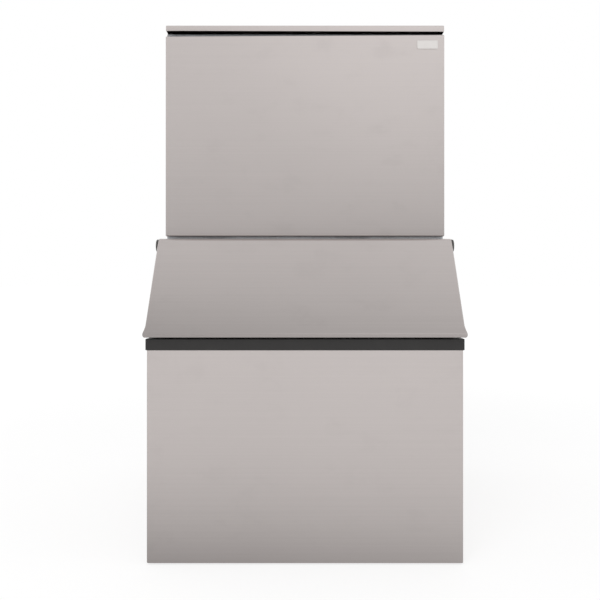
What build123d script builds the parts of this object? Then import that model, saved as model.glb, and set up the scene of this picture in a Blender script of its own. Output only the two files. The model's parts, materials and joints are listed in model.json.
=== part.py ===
"""Modular cube ice machine: an ice-making head standing on a storage bin with a sloping lift-up door.

Sizes are in millimetres. +Z is up and the front faces -Y. The origin is on the floor, at the
middle of the cabinet's width and of its overall depth. The head's ice maker is on the left,
its refrigeration side on the right. Sheets are drawn folded, with their flanges and seams.
"""

import math
import os

from build123d import *

# Cabinet, shared by the bin and the head
CABINET_WIDTH = 762.0
OVERALL_DEPTH = 864.0
SHEET = 1.0
BEND = 3.0
SEAM = 0.5
RUNNING = 0.05
SOFT_GAP = 0.3

# Bin casing
BIN_HEIGHT = 790.0
FRONT_PANEL_TOP = 518.0
PANEL_RETURN = 14.0
PANEL_LIP = 12.0
JOGGLE_FLANGE = 10.0
BACK_FLANGE = 14.0
CASING_LIFT = 3.0
BASE_SHEET = 2.0
BASE_EDGE = 40.0
LEG_INSET = 60.0
LEG_THREAD_RADIUS = 7.94
LEG_SOCKET_RADIUS = 14.0
LEG_SOCKET_FLANGE = 26.0
LEG_SOCKET_HEIGHT = 34.0

# Bin insulation and liner
WALL = 45.0
LINER = 3.0
LINER_FLOOR = 60.0
FOAM_GAP = 3.0
DROP_RECESS = 97.0
MOUTH_TOP = 46.0

# Bin door, hinged at its rounded top end
DOOR_OVERHANG = 20.0
DOOR_SLOPE = 54.0
DOOR_THICKNESS = 38.0
DOOR_SIDE_LAP = 2.0
DOOR_LIP_BOTTOM = 548.0
DOOR_LIP_HEIGHT = 10.0
DOOR_HINGE_DROP = 18.0
DOOR_HEM = 12.0
DOOR_PANEL = 3.0
DOOR_PANEL_START = 14.0
DOOR_PLUG = 12.0
DOOR_PLUG_GAP = 9.0
DOOR_GASKET = 7.0
DOOR_GASKET_WIDTH = 16.0
CORNER_GUARD = 4.6
CORNER_GUARD_HEIGHT = 26.0

# Door hinges
HEADER_GAP = 24.0
HINGE_PLATE_RADIUS = 17.0
HINGE_PLATE = 4.8
HINGE_SIDE_GAP = 1.2
HINGE_ARM = 68.0
HINGE_PIN_RADIUS = 4.0
HINGE_BUSH_RADIUS = 8.0
HINGE_BUSH_LENGTH = 16.0
HINGE_SCREW_RADIUS = 4.5

# Black sill trim across the bin's front
SILL_TRIM_HEIGHT = 27.0
SILL_TRIM_LAP = 2.0
SILL_TRIM_WALL = 2.5
SILL_TRIM_SIDE = 3.0
SILL_TRIM_DEPTH = 31.0

# Bin drain
DRAIN_BACKSET = 92.0
DRAIN_BORE = 12.7
DRAIN_WALL = 4.0
DRAIN_HEIGHT = 26.0
DRAIN_FLANGE = 26.0
STRAINER = 3.0

# Head cabinet
HEAD_GASKET = 3.0
HEAD_GASKET_WIDTH = 20.0
HEAD_HEIGHT = 585.0
HEAD_DEPTH = 610.0
HEAD_BASE_SHEET = 1.5
HEAD_BASE_EDGE = 24.0
HEAD_POST = 20.0
COVER_LIP = 17.5
COVER_HEM = 8.0
COVER_OVERHANG = 2.0
FRONT_RAIL_HEIGHT = 30.0
FRONT_RAIL_DEPTH = 36.0

# Head front panel, which pulls straight off its four studs
HEAD_PANEL_DEPTH = 20.0
HEAD_PANEL_GAP_TOP = 8.5
HEAD_PANEL_GAP_BOTTOM = 8.0
HEAD_PANEL_GAP_BACK = 5.0
HEAD_PANEL_DROOP = 4.5
HEAD_PANEL_DROOP_RUN = 140.0
HEAD_PANEL_HEM = 16.0
HEAD_PANEL_PAD_GAP = 1.0
STUD_RADIUS = 4.0
STUD_INSET = 11.0
STUD_FROM_END = 60.0
STUD_GAP = 0.4
GROMMET_RADIUS = 6.5
GROMMET_FLANGE = 8.5
GROMMET_LENGTH = 2.5
BADGE_WIDTH = 57.0
BADGE_HEIGHT = 23.8
BADGE_THICKNESS = 1.5
BADGE_FROM_SIDE = 18.0
BADGE_FROM_TOP = 15.8

# Ice maker compartment on the left
BULKHEAD_X = -6.0
HOUSING_GAP = 2.0
HOUSING_WALL = 18.0
HOUSING_FLOOR = 6.0
HOUSING_LEDGE = 10.0
HOUSING_ROUND = 8.0
HOUSING_DEPTH = 258.0
DROP_DEPTH = 128.0
DROP_INSIDE_LINER = 4.0

# Evaporator grid
GRID_ROWS = 15
GRID_PITCH = 22.4
GRID_WALL = 2.0
GRID_DEPTH = 20.0
GRID_BACK = 3.0
GRID_SLOPE = 15.0
GRID_BOTTOM = 150.0
GRID_FACE_BACKSET = 183.0
GRID_FRAME = 5.0
EVAPORATOR_TUBE = 4.8
TUBE_PASSES = 6
STANDOFF_RADIUS = 8.0
TUBE_BEND = 24.0
TUBE_REACH = 15.0
TUBE_HOLE = 7.0

# Water system
CURTAIN_SHEET = 2.5
CURTAIN_AHEAD = 20.0
CURTAIN_RIB = 4.0
CURTAIN_PIN = 3.0
CURTAIN_BARREL = 4.5
CURTAIN_SIDE = 3.0
CURTAIN_GAP = 1.5
CURTAIN_DROP = 12.0
CURTAIN_END_GAP = 8.0
BRACKET_SHEET = 2.5
BRACKET_HALF = 10.0
DISTRIBUTOR_RADIUS = 11.0
DISTRIBUTOR_WALL = 2.0
TROUGH_WALL = 3.0
TROUGH_HEIGHT = 66.0
TROUGH_LIFT = 40.0
TROUGH_AHEAD = 30.0
PUMP_RADIUS = 23.0
PUMP_MOTOR_HEIGHT = 62.0
PUMP_FROM_SIDE = 29.0
PUMP_FROM_GRID = 30.7
PUMP_SHAFT = 3.0
PUMP_LIFT = 5.0
PUMP_MOTOR_LIFT = 10.0
VOLUTE_HEIGHT = 20.0
VOLUTE_WALL = 2.0
VOLUTE_GAP = 3.0
IMPELLER_RADIUS = 15.0
HOSE_RADIUS = 6.5
DRAIN_TUBE = 8.0
INLET_RADIUS = 13.0
INLET_BORE = 7.5
INLET_FROM_GRID = 10.0
INLET_HEIGHT = 420.0
OUTLET_FROM_SIDE = 34.0
OUTLET_HEIGHT = 22.5
POWER_FROM_SIDE = 40.0
POWER_HEIGHT = 460.0
FITTING_LENGTH = 22.0
BUSHING_RADIUS = 12.0
BUSHING_BORE = 8.0

# Refrigeration side on the right
COMPRESSOR_X = 172.0
COMPRESSOR_BACKSET = 190.0
COMPRESSOR_RADIUS = 80.0
COMPRESSOR_HEIGHT = 205.0
COMPRESSOR_FOOT = 96.0
MOUNT_HEIGHT = 22.0
MOUNT_RADIUS = 13.0
FOOT_SHEET = 3.0
COIL_WIDTH = 300.0
COIL_HEIGHT = 300.0
COIL_DEPTH = 45.0
COIL_LIFT = 24.0
COIL_FROM_SIDE = 16.0
FIN_PITCH = 7.5
FIN_GAP = 4.5
FIN_GROOVE = 6.0
SHROUD_DEPTH = 62.0
SHROUD_SHEET = 2.0
SHROUD_RING = 27.0
FAN_RADIUS = 115.0
FAN_TIP_GAP = 5.0
FAN_BLADES = 5
FAN_CHORD = 58.0
FAN_PITCH_ANGLE = 28.0
FAN_BLADE_SHEET = 2.0
FAN_HUB_RADIUS = 26.0
FAN_HUB_LENGTH = 22.0
FAN_MOTOR_RADIUS = 38.0
FAN_MOTOR_LENGTH = 42.0
FAN_SHAFT = 4.0
FAN_SETBACK = 4.0
GRILLE_SLOT = 13.0
GRILLE_WEB = 11.0
RECEIVER_RADIUS = 36.0
RECEIVER_HEIGHT = 170.0
RECEIVER_FROM_SIDE = 74.0
RECEIVER_AHEAD = 47.0
LINE_RADIUS = 4.8
SUCTION_RADIUS = 8.0
LINE_BEND = 11.0
SUCTION_BEND = 13.0
DRIER_RADIUS = 22.0
DRIER_LENGTH = 120.0
DRIER_LIFT = 395.0
DRIER_FROM_SIDE = 75.0
LINE_TOP = 305.0

# Side louvres
LOUVRE_LENGTH = 130.0
LOUVRE_HEIGHT = 11.0
LOUVRE_REACH = 5.5
LOUVRE_PITCH = 26.0
LOUVRE_ROWS = 12
LOUVRE_COLUMNS = 2
LOUVRE_COLUMN_PITCH = 168.0

# Control box
CONTROL_WIDTH = 300.0
CONTROL_HEIGHT = 165.0
CONTROL_DEPTH = 66.0
CONTROL_LID = 8.0
CONTROL_FROM_SIDE = 45.0
CONTROL_SHEET = 1.5
BOARD_WIDTH = 170.0
BOARD_HEIGHT = 120.0
BOARD_FROM_SIDE = 15.0
BOARD_FROM_BOTTOM = 20.0
BOARD_FOOT = 10.0
BOARD_THICKNESS = 2.0
BOARD_STAND = 6.0
# Relay, transformer, terminal blocks and processor: across, up, width, height, depth
BOARD_PARTS = (
    (20.0, 20.0, 36.0, 34.0, 28.0),
    (66.0, 20.0, 28.0, 28.0, 20.0),
    (104.0, 18.0, 52.0, 14.0, 14.0),
    (20.0, 76.0, 60.0, 14.0, 14.0),
    (96.0, 66.0, 40.0, 40.0, 4.0),
)
TOGGLE_LEVER = 2.6
TOGGLE_REACH = 14.0
TOGGLE_BUSHING = 6.0
TOGGLE_BORE = 4.4

# Places worked out from the sizes above
HALF = CABINET_WIDTH / 2
INSIDE = HALF - SHEET
BACK_Y = OVERALL_DEPTH / 2
LIP_Y = -OVERALL_DEPTH / 2
FRONT_Y = LIP_Y + DOOR_OVERHANG
CASING_TOP = BIN_HEIGHT - SHEET

SLOPE = math.radians(DOOR_SLOPE)
DOOR_HALF = DOOR_THICKNESS / 2
HINGE_Z = BIN_HEIGHT - DOOR_HINGE_DROP
FACE_RUN = (HINGE_Z + DOOR_HALF * math.cos(SLOPE) - DOOR_LIP_BOTTOM - DOOR_LIP_HEIGHT) / math.sin(SLOPE)
HINGE_Y = LIP_Y + FACE_RUN * math.cos(SLOPE) + DOOR_HALF * math.sin(SLOPE)
DOOR_WIDTH_HALF = HALF + DOOR_SIDE_LAP
PANEL_FACE = DOOR_HALF + DOOR_PANEL
SEAT = PANEL_FACE + DOOR_GASKET + SOFT_GAP
HEADER_Y = HINGE_Y + HEADER_GAP

LINER_HALF = HALF - WALL
LINER_FRONT = FRONT_Y + WALL
LINER_BACK = BACK_Y - WALL
DROP_FRONT = HEADER_Y + DROP_RECESS

HEAD_Z = BIN_HEIGHT + HEAD_GASKET
HEAD_TOP = HEAD_Z + HEAD_HEIGHT
COVER_BOTTOM = HEAD_TOP - COVER_LIP
HEAD_FRONT = BACK_Y - HEAD_DEPTH
FRAME_Y = HEAD_FRONT + HEAD_PANEL_DEPTH + HEAD_PANEL_GAP_BACK
HEAD_FLOOR = HEAD_Z + HEAD_BASE_SHEET
HEAD_BACK = BACK_Y - SHEET

HOUSING_LEFT = -INSIDE + HOUSING_GAP
HOUSING_RIGHT = BULKHEAD_X - HOUSING_GAP
HOUSING_FRONT = FRAME_Y + HOUSING_GAP + SHEET
HOUSING_BACK = HOUSING_FRONT + HOUSING_DEPTH
HOUSING_TOP = COVER_BOTTOM - FRONT_RAIL_HEIGHT - HOUSING_GAP - SHEET
ROOM_LEFT = HOUSING_LEFT + HOUSING_WALL
ROOM_RIGHT = HOUSING_RIGHT - HOUSING_WALL
ROOM_BACK = HOUSING_BACK - HOUSING_WALL
ROOM_TOP = HOUSING_TOP - HOUSING_WALL

GRID_SPACE = ROOM_RIGHT - GRID_FRAME - SEAM - ROOM_LEFT - PUMP_FROM_SIDE - PUMP_FROM_GRID
GRID_COLUMNS = round(GRID_SPACE / GRID_PITCH)
GRID_WIDTH = GRID_COLUMNS * GRID_PITCH
GRID_HEIGHT = GRID_ROWS * GRID_PITCH
GRID_RIGHT = ROOM_RIGHT - GRID_FRAME - SEAM
GRID_LEFT = GRID_RIGHT - GRID_WIDTH
GRID_MID = (GRID_LEFT + GRID_RIGHT) / 2
GRID_FACE = FRAME_Y + GRID_FACE_BACKSET
GRID_REAR = GRID_FACE + GRID_DEPTH
GRID_Z = HEAD_Z + GRID_BOTTOM
GRID_TOP = GRID_Z + GRID_HEIGHT

BAY_LEFT = BULKHEAD_X + SHEET
RAIL_BOTTOM = COVER_BOTTOM - FRONT_RAIL_HEIGHT
PANEL_TOP = COVER_BOTTOM - HEAD_PANEL_GAP_TOP
PANEL_BOTTOM = HEAD_Z + HEAD_PANEL_GAP_BOTTOM
PANEL_BACK = HEAD_FRONT + HEAD_PANEL_DEPTH
EDGE_TOP = HEAD_Z + HEAD_BASE_EDGE
DROP_Y = HOUSING_FRONT + HOUSING_WALL
DROP_LEFT = -LINER_HALF + DROP_INSIDE_LINER
ROOM_FLOOR = HEAD_FLOOR + HOUSING_FLOOR
TUBE_Y = GRID_REAR + GRID_BACK + EVAPORATOR_TUBE + RUNNING
TUBE_LOW = GRID_Z + GRID_HEIGHT / TUBE_PASSES / 2
TUBE_HIGH = GRID_TOP - GRID_HEIGHT / TUBE_PASSES / 2
TUBE_END = BAY_LEFT + TUBE_REACH
CURTAIN_Y = GRID_FACE - CURTAIN_AHEAD
CURTAIN_LEFT = GRID_LEFT - GRID_FRAME - CURTAIN_SIDE
CURTAIN_RIGHT = ROOM_RIGHT - BRACKET_SHEET - CURTAIN_GAP
CURTAIN_AXIS = ROOM_TOP - CURTAIN_DROP
DISTRIBUTOR_Y = GRID_FACE + DISTRIBUTOR_RADIUS / 2
DISTRIBUTOR_Z = GRID_TOP + GRID_FRAME + SEAM + DISTRIBUTOR_RADIUS
TROUGH_Y = GRID_FACE - TROUGH_AHEAD
TROUGH_Z = HEAD_FLOOR + TROUGH_LIFT
TROUGH_TOP = TROUGH_Z + TROUGH_HEIGHT
PUMP_X = ROOM_LEFT + PUMP_FROM_SIDE
PUMP_Y = (TROUGH_Y + ROOM_BACK) / 2
VOLUTE_Z = TROUGH_Z + TROUGH_WALL + PUMP_LIFT
MOTOR_Z = TROUGH_TOP + PUMP_MOTOR_LIFT
COMPRESSOR_Y = FRAME_Y + COMPRESSOR_BACKSET
FOOT_Z = HEAD_FLOOR + MOUNT_HEIGHT
SHELL_Z = FOOT_Z + FOOT_SHEET
COIL_RIGHT = INSIDE - COIL_FROM_SIDE
COIL_LEFT = COIL_RIGHT - COIL_WIDTH
COIL_Z = HEAD_FLOOR + COIL_LIFT
SHROUD_BACK = HEAD_BACK - SHROUD_RING
SHROUD_FRONT = SHROUD_BACK - SHROUD_DEPTH
COIL_FRONT = SHROUD_FRONT - COIL_DEPTH
FAN_X = (COIL_LEFT + COIL_RIGHT) / 2
FAN_Z = COIL_Z + COIL_HEIGHT / 2
FAN_Y = SHROUD_BACK + SHROUD_RING / 2 - FAN_SETBACK
MOTOR_BACK = FAN_Y - FAN_HUB_LENGTH / 2 - FAN_SETBACK
LID_FRONT = FRAME_Y + BACK_FLANGE
CONTROL_FRONT = LID_FRONT + CONTROL_LID
CONTROL_TOP = RAIL_BOTTOM
CONTROL_Z = CONTROL_TOP - CONTROL_HEIGHT
CONTROL_LEFT = BAY_LEFT + CONTROL_FROM_SIDE
CONTROL_RIGHT = CONTROL_LEFT + CONTROL_WIDTH


def block(x, y, z):
    """A box between a low and a high limit on each axis."""
    size = [high - low for low, high in (x, y, z)]
    middle = [(low + high) / 2 for low, high in (x, y, z)]
    return Pos(*middle) * Box(*size)


def prism_x(points, low, high):
    """A (y, z) outline carried along X."""
    return extrude(Plane.YZ.offset(low) * Polygon(*points, align=None), amount=high - low, dir=(1, 0, 0))


def prism_y(points, low, high):
    """An (x, z) outline carried along Y."""
    return extrude(Plane.XZ.offset(-low) * Polygon(*points, align=None), amount=high - low, dir=(0, 1, 0))


def rod(start, end, radius):
    """A round bar from one point to another."""
    start, end = Vector(*start), Vector(*end)
    return extrude(Plane(origin=start, z_dir=end - start) * Circle(radius), amount=(end - start).length)


def pipe(points, radius, bend):
    """A round tube line of straight runs joined by bends of one radius."""
    path = FilletPolyline(*points, radius=bend)
    first, second = Vector(*points[0]), Vector(*points[1])
    return sweep(Plane(origin=first, z_dir=second - first) * Circle(radius), path=path)


def both_sides(shape):
    """A shape together with its mirror image across the cabinet's middle."""
    return Compound(children=[*shape.solids(), *mirror(shape, about=Plane.YZ).solids()])


def group(shapes):
    """Like pieces kept together in one node, as separate solids."""
    return Compound(children=[solid for shape in shapes for solid in shape.solids()])


def door_point(along, out):
    """A (y, z) point measured down the bin door's slope from its hinge, and out from its mid plane."""
    return (
        HINGE_Y - along * math.cos(SLOPE) - out * math.sin(SLOPE),
        HINGE_Z - along * math.sin(SLOPE) + out * math.cos(SLOPE),
    )


def along_at_height(height, out):
    """How far down the slope a line at this distance from the mid plane reaches a height."""
    return (HINGE_Z + out * math.cos(SLOPE) - height) / math.sin(SLOPE)


def along_at_depth(y, out):
    """How far down the slope a line at this distance from the mid plane reaches a y place."""
    return (HINGE_Y - out * math.sin(SLOPE) - y) / math.cos(SLOPE)


MOUTH_BOTTOM = along_at_depth(LINER_FRONT, -SEAT)
SILL_TRIM_TOP = FRONT_PANEL_TOP - SILL_TRIM_LAP + SILL_TRIM_HEIGHT
SILL_BACK = FRONT_Y - SILL_TRIM_WALL + SILL_TRIM_DEPTH
SEAT_END = along_at_depth(SILL_BACK, -SEAT)


# Bin casing


def bin_front_panel():
    """Front sheet with side returns and a lip turned back under the sill trim."""
    outer = block((-HALF, HALF), (FRONT_Y, FRONT_Y + PANEL_RETURN), (CASING_LIFT, FRONT_PANEL_TOP))
    outer = fillet(outer.edges().filter_by(Axis.Z).group_by(Axis.Y)[0], BEND)
    inner = block(
        (-INSIDE, INSIDE),
        (FRONT_Y + SHEET, FRONT_Y + PANEL_RETURN),
        (CASING_LIFT + SHEET, FRONT_PANEL_TOP - SHEET),
    )
    inner = fillet(inner.edges().filter_by(Axis.Z).group_by(Axis.Y)[0], BEND - SHEET)
    window = block(
        (-INSIDE + PANEL_LIP, INSIDE - PANEL_LIP),
        (FRONT_Y + PANEL_LIP, FRONT_Y + PANEL_RETURN),
        (FRONT_PANEL_TOP - SHEET, FRONT_PANEL_TOP),
    )
    return outer - inner - window


def side_outline():
    """Outline of the bin's side, from the back edge round the door's seat to the front."""
    front = FRONT_Y + PANEL_RETURN + SEAM
    return [
        (front, CASING_LIFT),
        (HEAD_BACK, CASING_LIFT),
        (HEAD_BACK, CASING_TOP),
        (HEADER_Y, CASING_TOP),
        door_point(along_at_depth(HEADER_Y, -SEAT), -SEAT),
        door_point(SEAT_END, -SEAT),
        (SILL_BACK, SILL_TRIM_TOP - SILL_TRIM_WALL),
        (FRONT_Y + SHEET, SILL_TRIM_TOP - SILL_TRIM_WALL),
        (FRONT_Y + SHEET, FRONT_PANEL_TOP + SEAM),
        (front, FRONT_PANEL_TOP + SEAM),
    ]


def bin_side_panel():
    """Right side sheet: joggled behind the front panel's return, and flanged behind the back panel."""
    front = FRONT_Y + PANEL_RETURN + SEAM
    skin = prism_x(side_outline(), INSIDE, HALF)
    step = block((INSIDE - SHEET, HALF), (front, front + SHEET), (BASE_EDGE, FRONT_PANEL_TOP - PANEL_LIP))
    flange = block(
        (INSIDE - SHEET, INSIDE),
        (front - JOGGLE_FLANGE, front + SHEET),
        (BASE_EDGE, FRONT_PANEL_TOP - PANEL_LIP),
    )
    back = block((INSIDE - BACK_FLANGE, INSIDE), (HEAD_BACK - SHEET, HEAD_BACK), (BASE_EDGE, CASING_TOP - LINER))
    return skin + step + flange + back


def drain_axis():
    """The (x, y) place of the bin's floor drain."""
    return 0.0, BACK_Y - DRAIN_BACKSET


def bin_back_panel():
    """Plain back sheet with the hole that the drain leaves through."""
    x, _ = drain_axis()
    sheet = block((-HALF, HALF), (HEAD_BACK, BACK_Y), (CASING_LIFT, CASING_TOP))
    return sheet - rod((x, HEAD_BACK - SHEET, DRAIN_HEIGHT), (x, BACK_Y + SHEET, DRAIN_HEIGHT), DRAIN_BORE + DRAIN_WALL)


def leg_places():
    """The four leg sockets, inset from the casing's faces."""
    for x in (-HALF + LEG_INSET, HALF - LEG_INSET):
        for y in (FRONT_Y + LEG_INSET, BACK_Y - LEG_INSET):
            yield x, y


def bin_base():
    """Bottom tray that the foam stands in, with holes for the leg sockets and the drain."""
    outer = block((-INSIDE + SHEET, INSIDE - SHEET), (FRONT_Y + PANEL_RETURN, HEAD_BACK - SHEET), (0, BASE_EDGE))
    inner = block(
        (-INSIDE + SHEET + BASE_SHEET, INSIDE - SHEET - BASE_SHEET),
        (FRONT_Y + PANEL_RETURN + BASE_SHEET, HEAD_BACK - SHEET - BASE_SHEET),
        (BASE_SHEET, BASE_EDGE),
    )
    tray = outer - inner
    for x, y in leg_places():
        tray -= rod((x, y, 0), (x, y, BASE_SHEET), LEG_SOCKET_RADIUS)
    x, y = drain_axis()
    return tray - rod((x, y, DRAIN_HEIGHT), (x, BACK_Y, DRAIN_HEIGHT), DRAIN_BORE + DRAIN_WALL)


def leg_socket(x, y):
    """One threaded socket: flush with the base's underside, flanged above its sheet."""
    top = LEG_SOCKET_HEIGHT
    body = rod((x, y, 0), (x, y, top), LEG_SOCKET_RADIUS)
    flange = rod((x, y, BASE_SHEET), (x, y, 2 * BASE_SHEET), LEG_SOCKET_FLANGE)
    return body + flange - rod((x, y, 0), (x, y, top - BASE_SHEET), LEG_THREAD_RADIUS)


def bin_top_frame():
    """Top sheet that the head stands on, with the ice opening and a flange down behind the door's hinge."""
    _, seat_top = door_point(along_at_depth(HEADER_Y, -SEAT), -SEAT)
    deck = block((-HALF, HALF), (HEADER_Y, BACK_Y), (CASING_TOP, BIN_HEIGHT))
    flange = block((-INSIDE, INSIDE), (HEADER_Y, HEADER_Y + SHEET), (seat_top, CASING_TOP))
    hole = block((-LINER_HALF, LINER_HALF), (DROP_FRONT, LINER_BACK), (CASING_TOP, BIN_HEIGHT))
    return deck + flange - hole


# Bin liner and insulation


def bin_cavity():
    """The space inside the bin, carried out through its mouth and its top."""
    _, ceiling = door_point(MOUTH_TOP, -SEAT)
    above = BIN_HEIGHT + WALL
    outline = [
        (LINER_FRONT, LINER_FLOOR),
        (LINER_BACK, LINER_FLOOR),
        (LINER_BACK, above),
        (DROP_FRONT, above),
        (DROP_FRONT, ceiling),
        door_point(MOUTH_TOP, -SEAT),
        door_point(MOUTH_TOP, -DOOR_HALF),
        door_point(MOUTH_BOTTOM, -DOOR_HALF),
        door_point(MOUTH_BOTTOM, -SEAT),
    ]
    return prism_x(outline, -LINER_HALF, LINER_HALF)


def liner_body():
    """The liner's outside: the tub, its ceiling over the mouth, and the lip that it stops at."""
    _, ceiling = door_point(MOUTH_TOP, -SEAT)
    outline = [
        (LINER_FRONT - LINER, LINER_FLOOR - LINER),
        (LINER_BACK + LINER, LINER_FLOOR - LINER),
        (LINER_BACK + LINER, CASING_TOP),
        (DROP_FRONT - LINER, CASING_TOP),
        (DROP_FRONT - LINER, ceiling + LINER),
        door_point(MOUTH_TOP - 2 * LINER, -SEAT - LINER),
        door_point(MOUTH_TOP - 2 * LINER, -SEAT),
        door_point(MOUTH_BOTTOM + LINER, -SEAT),
        (LINER_FRONT - LINER, door_point(MOUTH_BOTTOM + LINER, -SEAT - LINER)[1]),
    ]
    return prism_x(outline, -LINER_HALF - LINER, LINER_HALF + LINER)


def seat_flange():
    """The liner's flat rim in the door's seat plane, out to the side panels."""
    start = along_at_depth(HEADER_Y, -SEAT)
    outline = [
        door_point(start, -SEAT),
        door_point(SEAT_END, -SEAT),
        door_point(SEAT_END, -SEAT - LINER),
        door_point(start, -SEAT - LINER),
    ]
    return prism_x(outline, -INSIDE, INSIDE)


def bin_liner():
    """One-piece moulded liner with a top rim, a mouth rim and a drain hole."""
    rim = block(
        (-INSIDE, INSIDE),
        (HEADER_Y + SHEET, HEAD_BACK - SHEET),
        (CASING_TOP - LINER, CASING_TOP),
    )
    x, y = drain_axis()
    drain = rod((x, y, 0), (x, y, LINER_FLOOR), DRAIN_BORE + DRAIN_WALL)
    return liner_body() + seat_flange() + rim - bin_cavity() - drain


def drain_solid(bore):
    """The drain's elbow, drawn with or without its waterway."""
    x, y = drain_axis()
    outside = DRAIN_BORE + DRAIN_WALL
    down = rod((x, y, DRAIN_HEIGHT), (x, y, LINER_FLOOR), outside) + Pos(x, y, DRAIN_HEIGHT) * Sphere(outside)
    across = rod((x, y, DRAIN_HEIGHT), (x, BACK_Y, DRAIN_HEIGHT), outside)
    flange = rod((x, y, LINER_FLOOR), (x, y, LINER_FLOOR + STRAINER), DRAIN_FLANGE)
    elbow = down + across + flange
    if bore:
        elbow -= rod((x, y, DRAIN_HEIGHT), (x, BACK_Y, DRAIN_HEIGHT), DRAIN_BORE)
        elbow -= rod((x, y, DRAIN_HEIGHT), (x, y, LINER_FLOOR + STRAINER), DRAIN_BORE)
        elbow -= Pos(x, y, DRAIN_HEIGHT) * Sphere(DRAIN_BORE)
    return elbow


def drain_strainer():
    """Slotted disc over the floor drain."""
    x, y = drain_axis()
    low = LINER_FLOOR + STRAINER
    disc = rod((x, y, low), (x, y, low + STRAINER), DRAIN_FLANGE - STRAINER)
    slot = STRAINER
    for step in (-2, -1, 0, 1, 2):
        middle = x + step * 2 * slot
        disc -= block((middle - slot / 2, middle + slot / 2), (y - DRAIN_BORE, y + DRAIN_BORE), (low, low + STRAINER))
    return disc


def bin_foam():
    """Insulation that fills the bin's walls, base and header."""
    start = along_at_depth(HEADER_Y + SHEET + FOAM_GAP, -SEAT - LINER)
    outline = [
        (FRONT_Y + PANEL_RETURN + BASE_SHEET, BASE_SHEET),
        (HEAD_BACK - SHEET - BASE_SHEET, BASE_SHEET),
        (HEAD_BACK - SHEET - BASE_SHEET, CASING_TOP - LINER),
        (HEADER_Y + SHEET + FOAM_GAP, CASING_TOP - LINER),
        door_point(start, -SEAT - LINER),
        door_point(SEAT_END, -SEAT - LINER),
        (SILL_BACK, SILL_TRIM_TOP - SILL_TRIM_WALL),
        (FRONT_Y + PANEL_RETURN, SILL_TRIM_TOP - SILL_TRIM_WALL),
        (FRONT_Y + PANEL_RETURN, FRONT_PANEL_TOP),
        (FRONT_Y + PANEL_RETURN, BASE_EDGE),
        (FRONT_Y + PANEL_RETURN + BASE_SHEET, BASE_EDGE),
    ]
    half = INSIDE - SHEET - BASE_SHEET
    front = block((-half, half), (FRONT_Y + SHEET, FRONT_Y + PANEL_RETURN), (BASE_EDGE, FRONT_PANEL_TOP - PANEL_LIP))
    foam = prism_x(outline, -half, half) + front - liner_body() - bin_cavity() - drain_solid(False)
    for x, y in leg_places():
        foam -= rod((x, y, BASE_SHEET), (x, y, LEG_SOCKET_HEIGHT), LEG_SOCKET_RADIUS)
        foam -= rod((x, y, BASE_SHEET), (x, y, 2 * BASE_SHEET), LEG_SOCKET_FLANGE)
    return foam


def bin_sill_trim():
    """Black moulding over the front panel's top edge, with rounded ends lapped onto the sides."""
    low = FRONT_PANEL_TOP - SILL_TRIM_LAP
    front = FRONT_Y - SILL_TRIM_WALL
    outer = block((-HALF - SILL_TRIM_SIDE, HALF + SILL_TRIM_SIDE), (front, SILL_BACK), (low, SILL_TRIM_TOP))
    outer = fillet(outer.edges().filter_by(Axis.Z).group_by(Axis.Y)[0], SILL_TRIM_SIDE)
    outer = fillet(outer.edges().group_by(Axis.Z)[-1].filter_by(Axis.X).group_by(Axis.Y)[0], SILL_TRIM_WALL / 2)
    inner = block((-HALF, HALF), (FRONT_Y, SILL_BACK), (low, SILL_TRIM_TOP - SILL_TRIM_WALL))
    return outer - inner


# Bin door


def door_outline(inset):
    """The door's section: rounded hinge end, sloping faces, an upright lip and a level bottom."""
    radius = DOOR_HALF - inset
    front = LIP_Y + inset
    bottom = DOOR_LIP_BOTTOM + inset
    outer_start = door_point(0, radius)
    outer_end = door_point(along_at_depth(front, radius), radius)
    inner_end = door_point(along_at_height(bottom, -radius), -radius)
    inner_start = door_point(0, -radius)
    lines = Polyline(outer_start, outer_end, (front, bottom), inner_end, inner_start)
    nose = ThreePointArc(inner_start, door_point(-radius, 0), outer_start)
    return make_face(Plane.YZ * (lines + nose))


def carried(outline, half):
    """A YZ face carried to both sides of the cabinet's middle."""
    return extrude(Pos(-half, 0, 0) * outline, amount=2 * half, dir=(1, 0, 0))


def slope_block(half, along, out):
    """A block in the door's own directions: half width, down the slope, out from its mid plane."""
    (top, bottom), (low, high) = along, out
    outline = [door_point(top, low), door_point(bottom, low), door_point(bottom, high), door_point(top, high)]
    return prism_x(outline, -half, half)


def bin_door_skin():
    """Folded outer skin: face, rounded hinge end, side walls, lip and hems round the inner face."""
    bottom = along_at_height(DOOR_LIP_BOTTOM, -DOOR_HALF)
    skin = carried(door_outline(0), DOOR_WIDTH_HALF) - carried(door_outline(SHEET), DOOR_WIDTH_HALF - SHEET)
    window = slope_block(
        DOOR_WIDTH_HALF - DOOR_HEM,
        (DOOR_PANEL_START + DOOR_HEM, bottom - DOOR_HEM),
        (-DOOR_HALF - SHEET, -DOOR_HALF + 2 * SHEET),
    )
    bushes = rod((-HALF - HALF, HINGE_Y, HINGE_Z), (HALF + HALF, HINGE_Y, HINGE_Z), HINGE_BUSH_RADIUS)
    return skin - window - bushes


def bin_door_foam():
    """Insulation inside the door, between its skin and its inner panel."""
    bush = rod(
        (DOOR_WIDTH_HALF - HINGE_BUSH_LENGTH, HINGE_Y, HINGE_Z), (DOOR_WIDTH_HALF, HINGE_Y, HINGE_Z), HINGE_BUSH_RADIUS
    )
    return carried(door_outline(SHEET), DOOR_WIDTH_HALF - SHEET) - bush - mirror(bush, about=Plane.YZ)


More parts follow.
